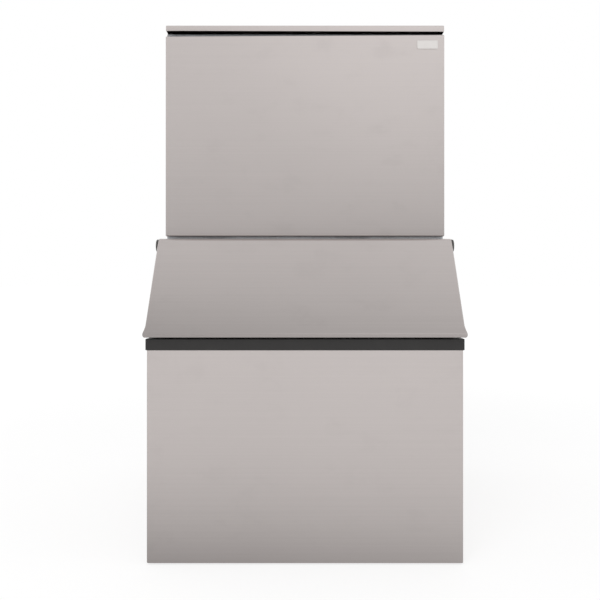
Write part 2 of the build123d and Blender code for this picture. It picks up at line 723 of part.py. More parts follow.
def bin_door_bushes():
    """Plastic bushes in the door's ends that turn on the hinge pins."""
    inner = DOOR_WIDTH_HALF - HINGE_BUSH_LENGTH
    bush = rod((inner, HINGE_Y, HINGE_Z), (DOOR_WIDTH_HALF, HINGE_Y, HINGE_Z), HINGE_BUSH_RADIUS)
    bush -= rod((inner, HINGE_Y, HINGE_Z), (DOOR_WIDTH_HALF, HINGE_Y, HINGE_Z), HINGE_PIN_RADIUS + RUNNING)
    return both_sides(bush)


def door_panel_end():
    """How far down the slope the door's inner panel reaches."""
    return along_at_height(DOOR_LIP_BOTTOM, -PANEL_FACE) - DOOR_PANEL


def bin_door_inner_panel():
    """White inner panel with a dished plug that fills the bin's mouth."""
    half = DOOR_WIDTH_HALF - SHEET
    panel = slope_block(half, (DOOR_PANEL_START, door_panel_end()), (-PANEL_FACE, -DOOR_HALF))
    plug_half = LINER_HALF - DOOR_PLUG_GAP
    top, bottom = MOUTH_TOP + DOOR_PLUG_GAP, MOUTH_BOTTOM - DOOR_PLUG_GAP
    plug = slope_block(plug_half, (top, bottom), (-PANEL_FACE - DOOR_PLUG, -PANEL_FACE))
    deep = -PANEL_FACE - DOOR_PLUG
    face = plug.faces().sort_by(Axis((0, HINGE_Y, HINGE_Z), (0, math.sin(SLOPE), -math.cos(SLOPE))))[-1]
    plug = chamfer(face.edges(), DOOR_PLUG - DOOR_PANEL)
    hollow = slope_block(
        plug_half - DOOR_PLUG,
        (top + DOOR_PLUG, bottom - DOOR_PLUG),
        (deep + DOOR_PANEL, -DOOR_HALF),
    )
    return panel + plug - hollow


def bin_door_gasket():
    """Soft ring between the door's inner panel and the mouth's rim."""
    out = (-PANEL_FACE - DOOR_GASKET, -PANEL_FACE)
    half = HALF - SHEET - DOOR_PANEL_START / 2
    top = DOOR_PANEL_START + DOOR_PANEL
    bottom = along_at_height(DOOR_LIP_BOTTOM, -PANEL_FACE - DOOR_GASKET) - DOOR_PANEL
    width = DOOR_GASKET_WIDTH
    ring = slope_block(half, (top, bottom), out)
    return ring - slope_block(half - width, (top + width, bottom - width), out)


def bin_door_corner_guards():
    """Moulded guards lapped over the door's two lower corners."""
    high = DOOR_LIP_BOTTOM + CORNER_GUARD_HEIGHT
    outline = [
        (LIP_Y, DOOR_LIP_BOTTOM),
        (LIP_Y, DOOR_LIP_BOTTOM + DOOR_LIP_HEIGHT),
        door_point(along_at_height(high, DOOR_HALF), DOOR_HALF),
        door_point(along_at_height(high, -DOOR_HALF), -DOOR_HALF),
        door_point(along_at_height(DOOR_LIP_BOTTOM, -DOOR_HALF), -DOOR_HALF),
    ]
    guard = prism_x(outline, DOOR_WIDTH_HALF, DOOR_WIDTH_HALF + CORNER_GUARD)
    outer = guard.faces().sort_by(Axis.X)[-1]
    return both_sides(fillet(outer.edges(), CORNER_GUARD - SHEET))


def hinge_bracket():
    """Right hinge bracket: a foot on the cabinet's side and a cheek that reaches past the door's end."""
    inner = DOOR_WIDTH_HALF + HINGE_SIDE_GAP
    outer = inner + HINGE_PLATE
    radius = HINGE_PLATE_RADIUS
    tail = HINGE_Y + HINGE_ARM
    cheek = rod((inner, HINGE_Y, HINGE_Z), (outer, HINGE_Y, HINGE_Z), radius)
    cheek += block((inner, outer), (HINGE_Y, tail), (HINGE_Z - radius, HINGE_Z + radius))
    foot = block((HALF, inner), (HEADER_Y, tail), (HINGE_Z - radius, HINGE_Z + radius))
    bracket = cheek + foot
    rim = bracket.faces().sort_by(Axis.X)[-1]
    bracket = fillet(rim.edges(), HINGE_PLATE / 2)
    return bracket - rod((inner, HINGE_Y, HINGE_Z), (outer - SHEET, HINGE_Y, HINGE_Z), HINGE_PIN_RADIUS)


def hinge_pins():
    """Steel pins held in the hinge brackets, on which the bin door turns."""
    start = DOOR_WIDTH_HALF - HINGE_BUSH_LENGTH + SEAM
    end = DOOR_WIDTH_HALF + HINGE_SIDE_GAP + HINGE_PLATE - SHEET
    return both_sides(rod((start, HINGE_Y, HINGE_Z), (end, HINGE_Y, HINGE_Z), HINGE_PIN_RADIUS))


def hinge_screws():
    """Pan-head screws through each hinge bracket's foot."""
    outer = DOOR_WIDTH_HALF + HINGE_SIDE_GAP + HINGE_PLATE
    first = HEADER_Y + HINGE_PLATE_RADIUS / 2
    second = HINGE_Y + HINGE_ARM - HINGE_PLATE_RADIUS / 2
    head = [rod((outer, y, HINGE_Z), (outer + SHEET, y, HINGE_Z), HINGE_SCREW_RADIUS) for y in (first, second)]
    return both_sides(group(head))


# Head cabinet


def head_gasket():
    """Foam strip between the bin's top and the head, all round the head's base."""
    outer = block((-INSIDE, INSIDE), (FRAME_Y, HEAD_BACK), (BIN_HEIGHT, HEAD_Z))
    width = HEAD_GASKET_WIDTH
    inner = block((-INSIDE + width, INSIDE - width), (FRAME_Y + width, HEAD_BACK - width), (BIN_HEIGHT, HEAD_Z))
    return outer - inner


def head_base():
    """Folded base tray of the head, with the ice drop cut through its left half."""
    thick = HEAD_BASE_SHEET
    outer = block((-INSIDE, INSIDE), (FRAME_Y, HEAD_BACK), (HEAD_Z, EDGE_TOP))
    inner = block(
        (-INSIDE + thick, INSIDE - thick),
        (FRAME_Y + thick, HEAD_BACK - thick),
        (HEAD_FLOOR, EDGE_TOP),
    )
    drop = block((DROP_LEFT, ROOM_RIGHT), (DROP_Y, DROP_Y + DROP_DEPTH), (HEAD_Z, HEAD_FLOOR))
    x, z = outlet_place()
    return outer - inner - drop - rod((x, HEAD_BACK - thick, z), (x, HEAD_BACK, z), INLET_RADIUS)


def head_side_panel():
    """Right side sheet of the head: front post, back flange, and a joggle inside the cover's lip."""
    top = COVER_BOTTOM - SEAM
    skin = block((INSIDE, HALF), (FRAME_Y, HEAD_BACK), (HEAD_Z, top))
    step = block((INSIDE - SHEET, HALF), (FRAME_Y, HEAD_BACK), (top - SHEET, top))
    stand = block((INSIDE - SHEET, INSIDE), (FRAME_Y, HEAD_BACK), (top - SHEET, HEAD_TOP - SHEET))
    post = block((INSIDE - HEAD_POST, INSIDE), (FRAME_Y, FRAME_Y + SHEET), (EDGE_TOP + SEAM, RAIL_BOTTOM - SEAM))
    flange = block(
        (INSIDE - BACK_FLANGE, INSIDE),
        (HEAD_BACK - SHEET, HEAD_BACK),
        (EDGE_TOP + SEAM, top - SHEET - SEAM),
    )
    holes = group(
        rod((INSIDE - STUD_INSET, FRAME_Y, z), (INSIDE - STUD_INSET, FRAME_Y + SHEET, z), GROMMET_RADIUS)
        for z in stud_heights()
    )
    return skin + step + stand + post + flange - holes


def louvre(y, z):
    """One louvre: the slot that it leaves in the side sheet, and its pressed hood."""
    low, high = y - LOUVRE_LENGTH / 2, y + LOUVRE_LENGTH / 2
    top = z + LOUVRE_HEIGHT
    reach = HALF + LOUVRE_REACH
    slot = block((INSIDE, HALF), (low + SHEET, high - SHEET), (z, top - 2 * SHEET))
    face = prism_y(
        [(INSIDE, top), (HALF, top), (reach, z), (reach - SHEET, z), (INSIDE, top - 2 * SHEET)],
        low,
        high,
    )
    cheek = [(INSIDE, z), (INSIDE, top), (HALF, top), (reach, z)]
    hood = face + prism_y(cheek, low, low + SHEET) + prism_y(cheek, high - SHEET, high)
    return slot, hood


def head_side_panel_right():
    """Right side sheet with its air louvres."""
    panel = head_side_panel()
    first_y = FRAME_Y + (HEAD_DEPTH - LOUVRE_COLUMN_PITCH * (LOUVRE_COLUMNS - 1)) / 2
    first_z = COIL_Z
    slots, hoods = [], []
    for column in range(LOUVRE_COLUMNS):
        for row in range(LOUVRE_ROWS):
            slot, hood = louvre(first_y + column * LOUVRE_COLUMN_PITCH, first_z + row * LOUVRE_PITCH)
            slots.append(slot)
            hoods.append(hood)
    return panel - group(slots) + group(hoods)


def head_top_cover():
    """Lift-off top cover, folded down on all four sides, its front lip hemmed."""
    front = HEAD_FRONT + COVER_OVERHANG
    outer = block((-HALF, HALF), (front, BACK_Y), (COVER_BOTTOM, HEAD_TOP))
    outer = fillet(outer.edges().filter_by(Axis.Z), BEND)
    outer = fillet(outer.edges().group_by(Axis.Z)[-1], BEND - SHEET)
    inner = block((-INSIDE, INSIDE), (front + SHEET, HEAD_BACK), (COVER_BOTTOM, HEAD_TOP - SHEET))
    hem = block((-INSIDE, INSIDE), (front + SHEET, front + COVER_HEM), (COVER_BOTTOM, COVER_BOTTOM + SHEET))
    return outer - inner + hem


def head_front_rail():
    """Channel across the top of the head's front opening."""
    half = INSIDE - SHEET
    outer = block((-half, half), (FRAME_Y, FRAME_Y + FRONT_RAIL_DEPTH), (RAIL_BOTTOM, COVER_BOTTOM))
    inner = block(
        (-half, half), (FRAME_Y + SHEET, FRAME_Y + FRONT_RAIL_DEPTH), (RAIL_BOTTOM + SHEET, COVER_BOTTOM - SHEET)
    )
    return outer - inner


def bulkhead():
    """Upright sheet between the ice maker and the refrigeration bay, flanged at front and foot."""
    front = FRAME_Y + SHEET + SEAM + HEAD_BASE_SHEET
    back = HEAD_BACK - HEAD_BASE_SHEET - SEAM
    top = RAIL_BOTTOM - SEAM
    sheet = block((BULKHEAD_X, BAY_LEFT), (front, back), (HEAD_FLOOR, top))
    edge = block((BULKHEAD_X, BAY_LEFT + BACK_FLANGE), (front, front + SHEET), (EDGE_TOP + SEAM, top))
    foot = block((BULKHEAD_X, BAY_LEFT + BACK_FLANGE), (front, back), (HEAD_FLOOR, HEAD_FLOOR + SHEET))
    holes = [rod((BULKHEAD_X, TUBE_Y, z), (BAY_LEFT, TUBE_Y, z), TUBE_HOLE) for z in (TUBE_LOW, TUBE_HIGH)]
    return sheet + edge + foot - group(holes)


def inlet_place():
    """The (x, z) place of the water inlet on the head's back."""
    return GRID_LEFT + INLET_FROM_GRID, HEAD_Z + INLET_HEIGHT


def outlet_place():
    """The (x, z) place of the drain outlet on the head's back."""
    return ROOM_RIGHT - OUTLET_FROM_SIDE, HEAD_FLOOR + OUTLET_HEIGHT


def power_place():
    """The (x, z) place of the power entry on the head's back."""
    return BAY_LEFT + POWER_FROM_SIDE, HEAD_Z + POWER_HEIGHT


def head_back_panel():
    """Back sheet with the fan's discharge slots and the holes for water, drain and power."""
    top = COVER_BOTTOM - SEAM
    sheet = block((-HALF, HALF), (HEAD_BACK, BACK_Y), (HEAD_Z, top))
    step = block((-INSIDE + 2 * SHEET, INSIDE - 2 * SHEET), (HEAD_BACK - SHEET, BACK_Y), (top - SHEET, top))
    stand = block(
        (-INSIDE + 2 * SHEET, INSIDE - 2 * SHEET),
        (HEAD_BACK - SHEET, HEAD_BACK),
        (top - SHEET, HEAD_TOP - SHEET),
    )
    cuts = []
    reach = FAN_RADIUS - GRILLE_WEB / 2
    rows = int(reach // (GRILLE_SLOT + GRILLE_WEB))
    for row in range(-rows, rows + 1):
        z = FAN_Z + row * (GRILLE_SLOT + GRILLE_WEB)
        half = math.sqrt(reach**2 - (abs(z - FAN_Z) + GRILLE_SLOT / 2) ** 2)
        for low, high in ((-half, -GRILLE_WEB / 2), (GRILLE_WEB / 2, half)):
            left, right = FAN_X + low + GRILLE_SLOT / 2, FAN_X + high - GRILLE_SLOT / 2
            cuts.append(block((left, right), (HEAD_BACK, BACK_Y), (z - GRILLE_SLOT / 2, z + GRILLE_SLOT / 2)))
            cuts += [rod((x, HEAD_BACK, z), (x, BACK_Y, z), GRILLE_SLOT / 2) for x in (left, right)]
    for (x, z), radius in (
        (inlet_place(), INLET_RADIUS),
        (outlet_place(), INLET_RADIUS),
        (power_place(), BUSHING_RADIUS),
    ):
        cuts.append(rod((x, HEAD_BACK, z), (x, BACK_Y, z), radius))
    return sheet + step + stand - group(cuts)


# Head front panel


def stud_heights():
    """Heights of the front panel's studs."""
    return PANEL_BOTTOM + STUD_FROM_END, PANEL_TOP - STUD_FROM_END


def front_outline(inset):
    """Outline of the head's front panel, its top edge falling away towards the left end."""
    left, right = -HALF + inset, HALF - inset
    low, high = PANEL_BOTTOM + inset, PANEL_TOP - inset
    return [
        (left, low),
        (right, low),
        (right, high),
        (-HALF + HEAD_PANEL_DROOP_RUN, high),
        (left, high - HEAD_PANEL_DROOP),
    ]


def head_front_panel():
    """Folded front panel with hemmed returns and four studs on its hem."""
    outer = prism_y(front_outline(0), HEAD_FRONT, PANEL_BACK)
    edges = outer.edges().filter_by(Axis.Z).group_by(Axis.Y)[0]
    outer = fillet(edges, BEND)
    front = outer.faces().sort_by(Axis.Y)[0]
    outer = fillet(front.edges().sort_by(Axis.Z)[0], BEND - SHEET)
    inner = prism_y(front_outline(SHEET), HEAD_FRONT + SHEET, PANEL_BACK - SHEET)
    inner = fillet(inner.edges().filter_by(Axis.Z).group_by(Axis.Y)[0], BEND - SHEET)
    window = prism_y(front_outline(HEAD_PANEL_HEM), PANEL_BACK - SHEET, PANEL_BACK)
    return outer - inner - window


def head_panel_studs():
    """Studs that hold the front panel in the frame's grommets."""
    tip = FRAME_Y + GROMMET_LENGTH - SEAM
    x = INSIDE - STUD_INSET
    studs = []
    for z in stud_heights():
        stud = rod((x, PANEL_BACK, z), (x, tip, z), STUD_RADIUS)
        stud = chamfer(stud.faces().sort_by(Axis.Y)[-1].edges(), SHEET)
        studs.append(stud + rod((x, PANEL_BACK, z), (x, PANEL_BACK + SHEET, z), GROMMET_RADIUS))
    return both_sides(group(studs))


def stud_grommets():
    """Plastic grommets in the side panels' posts that the studs push into."""
    x = INSIDE - STUD_INSET
    rings = []
    for z in stud_heights():
        ring = rod((x, FRAME_Y - SHEET, z), (x, FRAME_Y, z), GROMMET_FLANGE)
        ring += rod((x, FRAME_Y, z), (x, FRAME_Y + GROMMET_LENGTH, z), GROMMET_RADIUS)
        bore = rod((x, FRAME_Y - SHEET, z), (x, FRAME_Y + GROMMET_LENGTH, z), STUD_RADIUS + STUD_GAP)
        rings.append(ring - bore)
    return both_sides(group(rings))


def head_panel_insulation():
    """Foam pad on the front panel that closes the ice maker's compartment."""
    inset = HOUSING_LEDGE
    pad = block(
        (ROOM_LEFT + HEAD_PANEL_PAD_GAP, ROOM_RIGHT),
        (HEAD_FRONT + SHEET, HOUSING_FRONT - HEAD_PANEL_PAD_GAP),
        (EDGE_TOP + HEAD_PANEL_PAD_GAP, RAIL_BOTTOM - inset),
    )
    return chamfer(pad.faces().sort_by(Axis.Y)[-1].edges(), SHEET)


def badge_plate():
    """Plain raised plate near the front panel's upper right corner."""
    right = HALF - BADGE_FROM_SIDE
    top = PANEL_TOP - BADGE_FROM_TOP
    plate = block(
        (right - BADGE_WIDTH, right),
        (HEAD_FRONT - BADGE_THICKNESS, HEAD_FRONT),
        (top - BADGE_HEIGHT, top),
    )
    plate = fillet(plate.edges().filter_by(Axis.Y), BEND)
    return chamfer(plate.faces().sort_by(Axis.Y)[0].edges(), BADGE_THICKNESS / 3)


# Ice maker


def evaporator_housing():
    """Moulded white compartment, open at the front, with the ice drop through its floor."""
    outer = block((HOUSING_LEFT, HOUSING_RIGHT), (HOUSING_FRONT, HOUSING_BACK), (HEAD_FLOOR, HOUSING_TOP))
    room = block((ROOM_LEFT, ROOM_RIGHT), (HOUSING_FRONT, ROOM_BACK), (ROOM_FLOOR, ROOM_TOP))
    back = room.faces().sort_by(Axis.Y)[-1]
    room = fillet(back.edges(), HOUSING_ROUND)
    drop = block((DROP_LEFT, ROOM_RIGHT), (DROP_Y, DROP_Y + DROP_DEPTH), (HEAD_FLOOR, ROOM_FLOOR))
    housing = outer - room - drop
    for low, high in ((ROOM_LEFT, ROOM_LEFT + HOUSING_LEDGE), (ROOM_RIGHT - HOUSING_LEDGE, ROOM_RIGHT)):
        housing += block((low, high), (TROUGH_Y, ROOM_BACK), (TROUGH_Z - HOUSING_LEDGE, TROUGH_Z))
    for z in (TUBE_LOW, TUBE_HIGH):
        housing -= rod((ROOM_RIGHT, TUBE_Y, z), (HOUSING_RIGHT, TUBE_Y, z), TUBE_HOLE)
    fill_x, fill_z = fill_place()
    x, z = outlet_place()
    housing -= rod((fill_x, ROOM_BACK, fill_z), (fill_x, HOUSING_BACK, fill_z), TUBE_HOLE)
    return housing - rod((x, ROOM_BACK, z), (x, HOUSING_BACK, z), DRAIN_TUBE + 2 * SHEET)


def fill_place():
    """The (x, z) place where the fill tube passes the housing's back wall."""
    return inlet_place()[0], GRID_Z - 3 * GRID_FRAME


def evaporator_grid():
    """Ice-forming grid: upright and forward-sloping walls on a back plate, in a frame."""
    frame = block(
        (GRID_LEFT - GRID_FRAME, GRID_RIGHT + GRID_FRAME),
        (GRID_FACE, GRID_REAR + GRID_BACK),
        (GRID_Z - GRID_FRAME, GRID_TOP + GRID_FRAME),
    )
    frame -= block((GRID_LEFT, GRID_RIGHT), (GRID_FACE, GRID_REAR), (GRID_Z, GRID_TOP))
    fall = GRID_DEPTH * math.tan(math.radians(GRID_SLOPE))
    half = GRID_WALL / 2
    walls = []
    for column in range(1, GRID_COLUMNS):
        x = GRID_LEFT + column * GRID_PITCH
        walls.append(block((x - half, x + half), (GRID_FACE, GRID_REAR), (GRID_Z, GRID_TOP)))
    for row in range(1, GRID_ROWS):
        z = GRID_Z + row * GRID_PITCH
        section = [(GRID_FACE, z - half - fall), (GRID_REAR, z - half), (GRID_REAR, z + half), (GRID_FACE, z + half - fall)]
        walls.append(prism_x(section, GRID_LEFT, GRID_RIGHT))
    return frame.fuse(*walls)


def evaporator_standoffs():
    """Posts that hold the grid off the housing's back wall."""
    inset = STANDOFF_RADIUS - GRID_FRAME
    posts = []
    for x in (GRID_LEFT + inset, GRID_RIGHT - inset - HOUSING_ROUND):
        for z in (GRID_Z + inset, GRID_TOP - inset):
            posts.append(rod((x, GRID_REAR + GRID_BACK, z), (x, ROOM_BACK, z), STANDOFF_RADIUS))
    return group(posts)


def evaporator_tubing():
    """Refrigerant tube that winds up the grid's back and leaves through the housing's right wall."""
    pitch = GRID_HEIGHT / TUBE_PASSES
    left, right = GRID_LEFT + GRID_PITCH, GRID_RIGHT - GRID_PITCH
    points = [(TUBE_END, TUBE_Y, TUBE_LOW)]
    for turn in range(TUBE_PASSES - 1):
        x = left if turn % 2 == 0 else right
        points.append((x, TUBE_Y, TUBE_LOW + turn * pitch))
        points.append((x, TUBE_Y, TUBE_LOW + (turn + 1) * pitch))
    points.append((TUBE_END, TUBE_Y, TUBE_HIGH))
    return pipe(points, EVAPORATOR_TUBE, TUBE_BEND)


def water_distributor():
    """Tube above the grid with one hole over each column of cells."""
    left, right = GRID_LEFT, GRID_RIGHT
    tube = rod((left, DISTRIBUTOR_Y, DISTRIBUTOR_Z), (right, DISTRIBUTOR_Y, DISTRIBUTOR_Z), DISTRIBUTOR_RADIUS)
    bore = rod(
        (left, DISTRIBUTOR_Y, DISTRIBUTOR_Z),
        (right - DISTRIBUTOR_WALL, DISTRIBUTOR_Y, DISTRIBUTOR_Z),
        DISTRIBUTOR_RADIUS - DISTRIBUTOR_WALL,
    )
    tube -= bore
    for column in range(GRID_COLUMNS):
        x = GRID_LEFT + (column + 0.5) * GRID_PITCH
        tube -= rod((x, DISTRIBUTOR_Y, DISTRIBUTOR_Z), (x, DISTRIBUTOR_Y - DISTRIBUTOR_RADIUS, DISTRIBUTOR_Z), SHEET)
    return tube


def curtain_brackets():
    """Plates down from the compartment's roof that carry the water curtain."""
    plates = []
    for low in (CURTAIN_LEFT - CURTAIN_GAP - BRACKET_SHEET, CURTAIN_RIGHT + CURTAIN_GAP):
        high = low + BRACKET_SHEET
        bottom = CURTAIN_AXIS - BRACKET_HALF
        plate = block((low, high), (CURTAIN_Y - BRACKET_HALF, CURTAIN_Y + BRACKET_HALF), (bottom, ROOM_TOP))
        hole = rod((low, CURTAIN_Y, CURTAIN_AXIS), (high, CURTAIN_Y, CURTAIN_AXIS), CURTAIN_PIN + STUD_GAP)
        plates.append(plate - hole)
    return group(plates)


def water_curtain():
    """Hanging plastic curtain in front of the grid: barrel and pins, ribbed sheet, and turned-out foot."""
    half = CURTAIN_SHEET / 2
    bottom = TROUGH_TOP + CURTAIN_END_GAP
    axis = (CURTAIN_Y, CURTAIN_AXIS)
    reach = CURTAIN_GAP + BRACKET_SHEET - SEAM
    curtain = block((CURTAIN_LEFT, CURTAIN_RIGHT), (CURTAIN_Y - half, CURTAIN_Y + half), (bottom, CURTAIN_AXIS))
    curtain += rod((CURTAIN_LEFT, *axis), (CURTAIN_RIGHT, *axis), CURTAIN_BARREL)
    curtain += rod((CURTAIN_LEFT - reach, *axis), (CURTAIN_RIGHT + reach, *axis), CURTAIN_PIN)
    front = CURTAIN_Y - half - CURTAIN_RIB
    count = 5
    for rib in range(count):
        x = CURTAIN_LEFT + (rib + 0.5) * (CURTAIN_RIGHT - CURTAIN_LEFT) / count
        top = CURTAIN_AXIS - 2 * BRACKET_HALF
        curtain += block((x - half, x + half), (front, CURTAIN_Y), (bottom, top))
    foot = block((CURTAIN_LEFT, CURTAIN_RIGHT), (front - CURTAIN_RIB, CURTAIN_Y), (bottom, bottom + CURTAIN_SHEET))
    return curtain + foot


def ice_probe():
    """Probe that hangs from the roof between the curtain and the grid."""
    x = GRID_RIGHT - 2 * GRID_PITCH
    y = (CURTAIN_Y + CURTAIN_BARREL + GRID_FACE) / 2 - HEAD_BASE_SHEET
    half = CURTAIN_BARREL / 2
    body = block((x - 2 * half, x + 2 * half), (y - half, y + half), (CURTAIN_AXIS - 5 * half, CURTAIN_AXIS))
    stem = rod((x, y, CURTAIN_AXIS), (x, y, ROOM_TOP), SHEET)
    needle = rod((x, y, CURTAIN_AXIS - 12 * half), (x, y, CURTAIN_AXIS - 5 * half), SHEET)
    return body + stem + needle


def water_trough():
    """Open trough under the grid, with an overflow standpipe."""
    wall = TROUGH_WALL
    outer = block((ROOM_LEFT + SEAM, ROOM_RIGHT - SEAM), (TROUGH_Y, ROOM_BACK - SEAM), (TROUGH_Z, TROUGH_TOP))
    outer = fillet(outer.edges().filter_by(Axis.Z), HOUSING_ROUND)
    inner = block(
        (ROOM_LEFT + SEAM + wall, ROOM_RIGHT - SEAM - wall),
        (TROUGH_Y + wall, ROOM_BACK - SEAM - wall),
        (TROUGH_Z + wall, TROUGH_TOP),
    )
    inner = fillet(inner.edges().filter_by(Axis.Z), HOUSING_ROUND - wall)
    inner = fillet(inner.edges().group_by(Axis.Z)[0], HOUSING_ROUND - wall - SHEET)
    x, _ = outlet_place()
    pipe_top = TROUGH_TOP - 2 * HOUSING_LEDGE
    stand = rod((x, PUMP_Y, TROUGH_Z), (x, PUMP_Y, pipe_top), DRAIN_TUBE)
    stand -= rod((x, PUMP_Y, TROUGH_Z), (x, PUMP_Y, pipe_top), DRAIN_TUBE - SHEET)
    hole = rod((x, PUMP_Y, TROUGH_Z), (x, PUMP_Y, TROUGH_Z + wall), DRAIN_TUBE - SHEET)
    return outer - inner - hole + stand


def water_pump():
    """Upright pump: motor above the trough, two struts, and the impeller's casing down in the water."""
    radius = PUMP_RADIUS
    top = VOLUTE_Z + VOLUTE_HEIGHT
    axis = (PUMP_X, PUMP_Y)
    motor = rod((*axis, MOTOR_Z), (*axis, MOTOR_Z + PUMP_MOTOR_HEIGHT), radius)
    motor = fillet(motor.faces().sort_by(Axis.Z)[-1].edges(), VOLUTE_GAP)
    motor -= rod((*axis, MOTOR_Z), (*axis, MOTOR_Z + HOUSING_LEDGE), PUMP_SHAFT + RUNNING)
    casing = rod((*axis, VOLUTE_Z), (*axis, top), IMPELLER_RADIUS + VOLUTE_GAP + VOLUTE_WALL)
    casing -= rod((*axis, VOLUTE_Z + VOLUTE_WALL), (*axis, top - VOLUTE_WALL), IMPELLER_RADIUS + VOLUTE_GAP)
    casing -= rod((*axis, VOLUTE_Z), (*axis, VOLUTE_Z + VOLUTE_WALL), IMPELLER_RADIUS / 2)
    casing -= rod((*axis, top - VOLUTE_WALL), (*axis, top), PUMP_SHAFT + VOLUTE_WALL)
    pump = motor + casing
    right, back = PUMP_X + PUMP_RADIUS - VOLUTE_GAP, PUMP_Y + PUMP_RADIUS - VOLUTE_GAP
    shelf = block((ROOM_LEFT + SEAM, right), (TROUGH_Y, back), (TROUGH_TOP, TROUGH_TOP + VOLUTE_GAP))
    shelf = fillet(shelf.edges().filter_by(Axis.Z), HOUSING_ROUND)
    pump += shelf - rod((*axis, TROUGH_TOP), (*axis, MOTOR_Z), PUMP_SHAFT + VOLUTE_WALL)
    for side in (-1, 1):
        x = PUMP_X + side * IMPELLER_RADIUS
        pump += rod((x, PUMP_Y, top - VOLUTE_WALL), (x, PUMP_Y, MOTOR_Z), PUMP_SHAFT)
    y = PUMP_Y + IMPELLER_RADIUS + VOLUTE_GAP
    z = VOLUTE_Z + VOLUTE_HEIGHT / 2
    return pump + rod((PUMP_X, y, z), (PUMP_X, y + 2 * VOLUTE_GAP, z), HOSE_RADIUS)


def pump_impeller():
    """Impeller and shaft of the water pump."""
    axis = (PUMP_X, PUMP_Y)
    low = VOLUTE_Z + VOLUTE_WALL + VOLUTE_GAP
    high = VOLUTE_Z + VOLUTE_HEIGHT - VOLUTE_WALL - VOLUTE_GAP
    wheel = rod((*axis, high - VOLUTE_WALL), (*axis, high), IMPELLER_RADIUS)
    wheel += rod((*axis, low), (*axis, high), 2 * PUMP_SHAFT)
    wheel += rod((*axis, low), (*axis, MOTOR_Z + HOUSING_LEDGE - SEAM), PUMP_SHAFT)
    vane = Pos(PUMP_X, PUMP_Y, (low + high) / 2) * Box(2 * IMPELLER_RADIUS - 2 * SHEET, SHEET, high - low)
    for turn in range(4):
        wheel += vane.rotate(Axis(axis + (0,), (0, 0, 1)), 45 * turn)
    return wheel


def pump_hose():
    """Hose from the pump's outlet up to the distributor."""
    start = PUMP_Y + IMPELLER_RADIUS + 3 * VOLUTE_GAP
    rise = start + HOSE_RADIUS + VOLUTE_GAP
    z = VOLUTE_Z + VOLUTE_HEIGHT / 2
    points = [
        (PUMP_X, start, z),
        (PUMP_X, rise, z),
        (PUMP_X, rise, DISTRIBUTOR_Z),
        (PUMP_X, DISTRIBUTOR_Y, DISTRIBUTOR_Z),
        (GRID_LEFT, DISTRIBUTOR_Y, DISTRIBUTOR_Z),
    ]
    return pipe(points, HOSE_RADIUS, HOSE_RADIUS + SHEET)


# Water and power connections


def fitting(place, radius, bore, length, depth):
    """A round fitting flush with the head's back, bored part of its length."""
    x, z = place
    body = rod((x, BACK_Y - length, z), (x, BACK_Y, z), radius)
    return body - rod((x, BACK_Y - depth, z), (x, BACK_Y, z), bore)


def water_inlet_fitting():
    """Brass threaded inlet at the head's back."""
    return fitting(inlet_place(), INLET_RADIUS, INLET_BORE, FITTING_LENGTH, FITTING_LENGTH - 2 * SHEET)


def drain_outlet_fitting():
    """Plastic drain outlet at the head's back."""
    return fitting(outlet_place(), INLET_RADIUS, INLET_BORE, FITTING_LENGTH, FITTING_LENGTH - 2 * SHEET)


def power_bushing():
    """Plastic bushing where the power supply enters."""
    return fitting(power_place(), BUSHING_RADIUS, BUSHING_BORE, FITTING_LENGTH / 2, FITTING_LENGTH / 2)


def water_inlet_valve():
    """Solenoid valve behind the inlet fitting."""
    x, z = inlet_place()
    back = BACK_Y - FITTING_LENGTH
    front = back - 2 * INLET_RADIUS
    body = block((x - INLET_RADIUS, x + INLET_RADIUS), (front, back), (z - INLET_RADIUS, z + INLET_RADIUS))
    coil = rod((x, front + INLET_RADIUS, z), (x, front + INLET_RADIUS, z + 4 * INLET_RADIUS), INLET_RADIUS)
    return body + coil


def fill_line():
    """Tube from the inlet valve, through the housing's back wall, to over the trough."""
    x, z = inlet_place()
    _, fill_z = fill_place()
    y = BACK_Y - FITTING_LENGTH - INLET_RADIUS
    points = [
        (x, y, z - INLET_RADIUS),
        (x, y, fill_z),
        (x, ROOM_BACK - 2 * HOUSING_LEDGE, fill_z),
        (x, ROOM_BACK - 2 * HOUSING_LEDGE, TROUGH_TOP),
    ]
    return pipe(points, LINE_RADIUS, LINE_BEND)


def trough_drain():
    """Drain tube from under the trough to the outlet fitting."""
    x, z = outlet_place()
    points = [(x, PUMP_Y, TROUGH_Z), (x, PUMP_Y, z), (x, BACK_Y - FITTING_LENGTH, z)]
    return pipe(points, DRAIN_TUBE, LINE_BEND)


# Refrigeration


